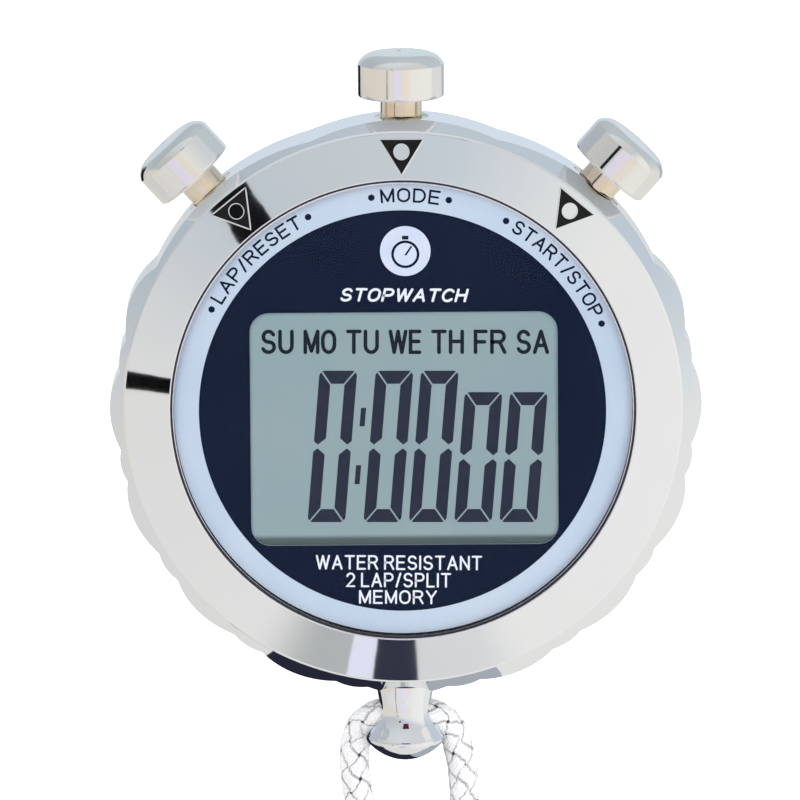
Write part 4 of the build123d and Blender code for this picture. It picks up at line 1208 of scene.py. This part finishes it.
def add_world():
    """A soft white room: bluish towards 12 o'clock, warm white elsewhere, pale below."""
    sky = Sky("studio")
    bpy.context.scene.world = sky.world
    upper = sky.bands((-0.26, 0.966, 0.0), (
        (-1.0, (0.86, 0.86, 0.85)),
        (-0.45, (0.86, 0.86, 0.85)),
        (0.04, (0.86, 0.86, 0.84)),
        (0.20, (0.76, 0.78, 0.79)),
        (0.36, (0.60, 0.66, 0.72)),
        (0.48, (0.64, 0.66, 0.68)),
        (0.70, (0.68, 0.69, 0.70)),
        (1.0, (0.76, 0.82, 0.88)),
    ))
    lower = sky.bands((0.0, 1.0, 0.0), (
        (-1.0, (0.80, 0.80, 0.79)),
        (-0.45, (0.80, 0.80, 0.79)),
        (-0.18, (0.76, 0.77, 0.77)),
        (0.05, (0.63, 0.68, 0.72)),
        (0.29, (0.54, 0.61, 0.68)),
        (0.70, (0.52, 0.59, 0.655)),
        (1.0, (0.56, 0.63, 0.70)),
    ))
    below = sky.spread(sky.along((0.0, 0.0, 1.0)), (0.03, -0.03))
    colour = sky.mix(below, upper, lower)
    for tint, x_span, y_span, z_span, edge in ROOM_PATCHES:
        colour = sky.patch(colour, tint, (x_span, y_span, z_span), edge)
    strength = sky.spread(sky.along((1.0, 0.0, 0.0)), (-1.0, 1.0), (0.88, 1.10))
    background = sky.nodes["Background"]
    sky.put(colour, background.inputs["Color"])
    sky.put(strength, background.inputs["Strength"])


def area_light(name, place, size, power):
    """A round lamp aimed at the object; place is in metres, and the chrome doesn't show it."""
    data = bpy.data.lights.new(name, "AREA")
    data.shape = "DISK"
    data.size = size
    data.energy = power
    lamp = bpy.data.objects.new(name, data)
    bpy.context.scene.collection.objects.link(lamp)
    lamp.location = Vector(place)
    lamp.rotation_euler = (-Vector(place)).to_track_quat("-Z", "Y").to_euler()
    lamp.visible_glossy = False


def add_studio():
    """The floor, the room, two lamps, and the cards that make the bands in the chrome."""
    add_floor()
    add_world()
    area_light("key_light", (-0.6, 0.9, 1.3), 0.9, 9.0)
    area_light("fill_light", (0.9, -0.2, 1.2), 0.9, 6.0)
    face_card("dark_card_low", -96.6, -87.2, (0.036, 0.038, 0.062))
    face_card("bright_card_low", -102.4, -96.6, (0.83, 0.84, 1.0))
    face_card("dark_card_left", 171.9, 175.6, (0.003, 0.003, 0.004))
    face_card("dark_card_marker", 123.6, 133.8, (0.008, 0.008, 0.010))
    ground_card("ground_card_dark", (-19.0, 2.5), (0.02, 0.022, 0.04))
    ground_card("ground_card_blue", (2.5, 13.0), (0.40, 0.43, 0.48))


def add_camera():
    """The camera, looking at the crystal from slightly towards 12 o'clock."""
    tilt = math.radians(TILT)
    view = view_direction()
    up = Vector((0.0, math.cos(tilt), -math.sin(tilt)))
    right = Vector((1.0, 0.0, 0.0))
    spot = Vector((0.0, 0.0, CRYSTAL_TOP_Z))
    spot = spot + view * CAMERA_DISTANCE + right * CAMERA_SHIFT[0] + up * CAMERA_SHIFT[1]
    data = bpy.data.cameras.new("camera")
    data.sensor_width = SENSOR
    data.lens = LENS
    data.clip_start = 0.05
    data.clip_end = 20.0
    camera = bpy.data.objects.new("camera", data)
    bpy.context.scene.collection.objects.link(camera)
    turn = Matrix.Rotation(-tilt, 4, "X") @ Matrix.Rotation(math.radians(CAMERA_ROLL), 4, "Z")
    camera.matrix_world = Matrix.Translation(spot * MM) @ turn
    bpy.context.scene.camera = camera
    bpy.context.scene.view_settings.view_transform = "Standard"


# ---------------------------------------------------------------- the model

def build():
    """Everything that is shown, and the studio round it."""
    add_camera()
    add_lanyard()
    paint_nodes()
    add_return_springs()
    add_dial_prints()
    add_sign(top_of("dial_plate") + INK_GAP + INK_T + INK_GAP / 2)
    add_display()
    add_marker_edges()
    add_studio()


build()
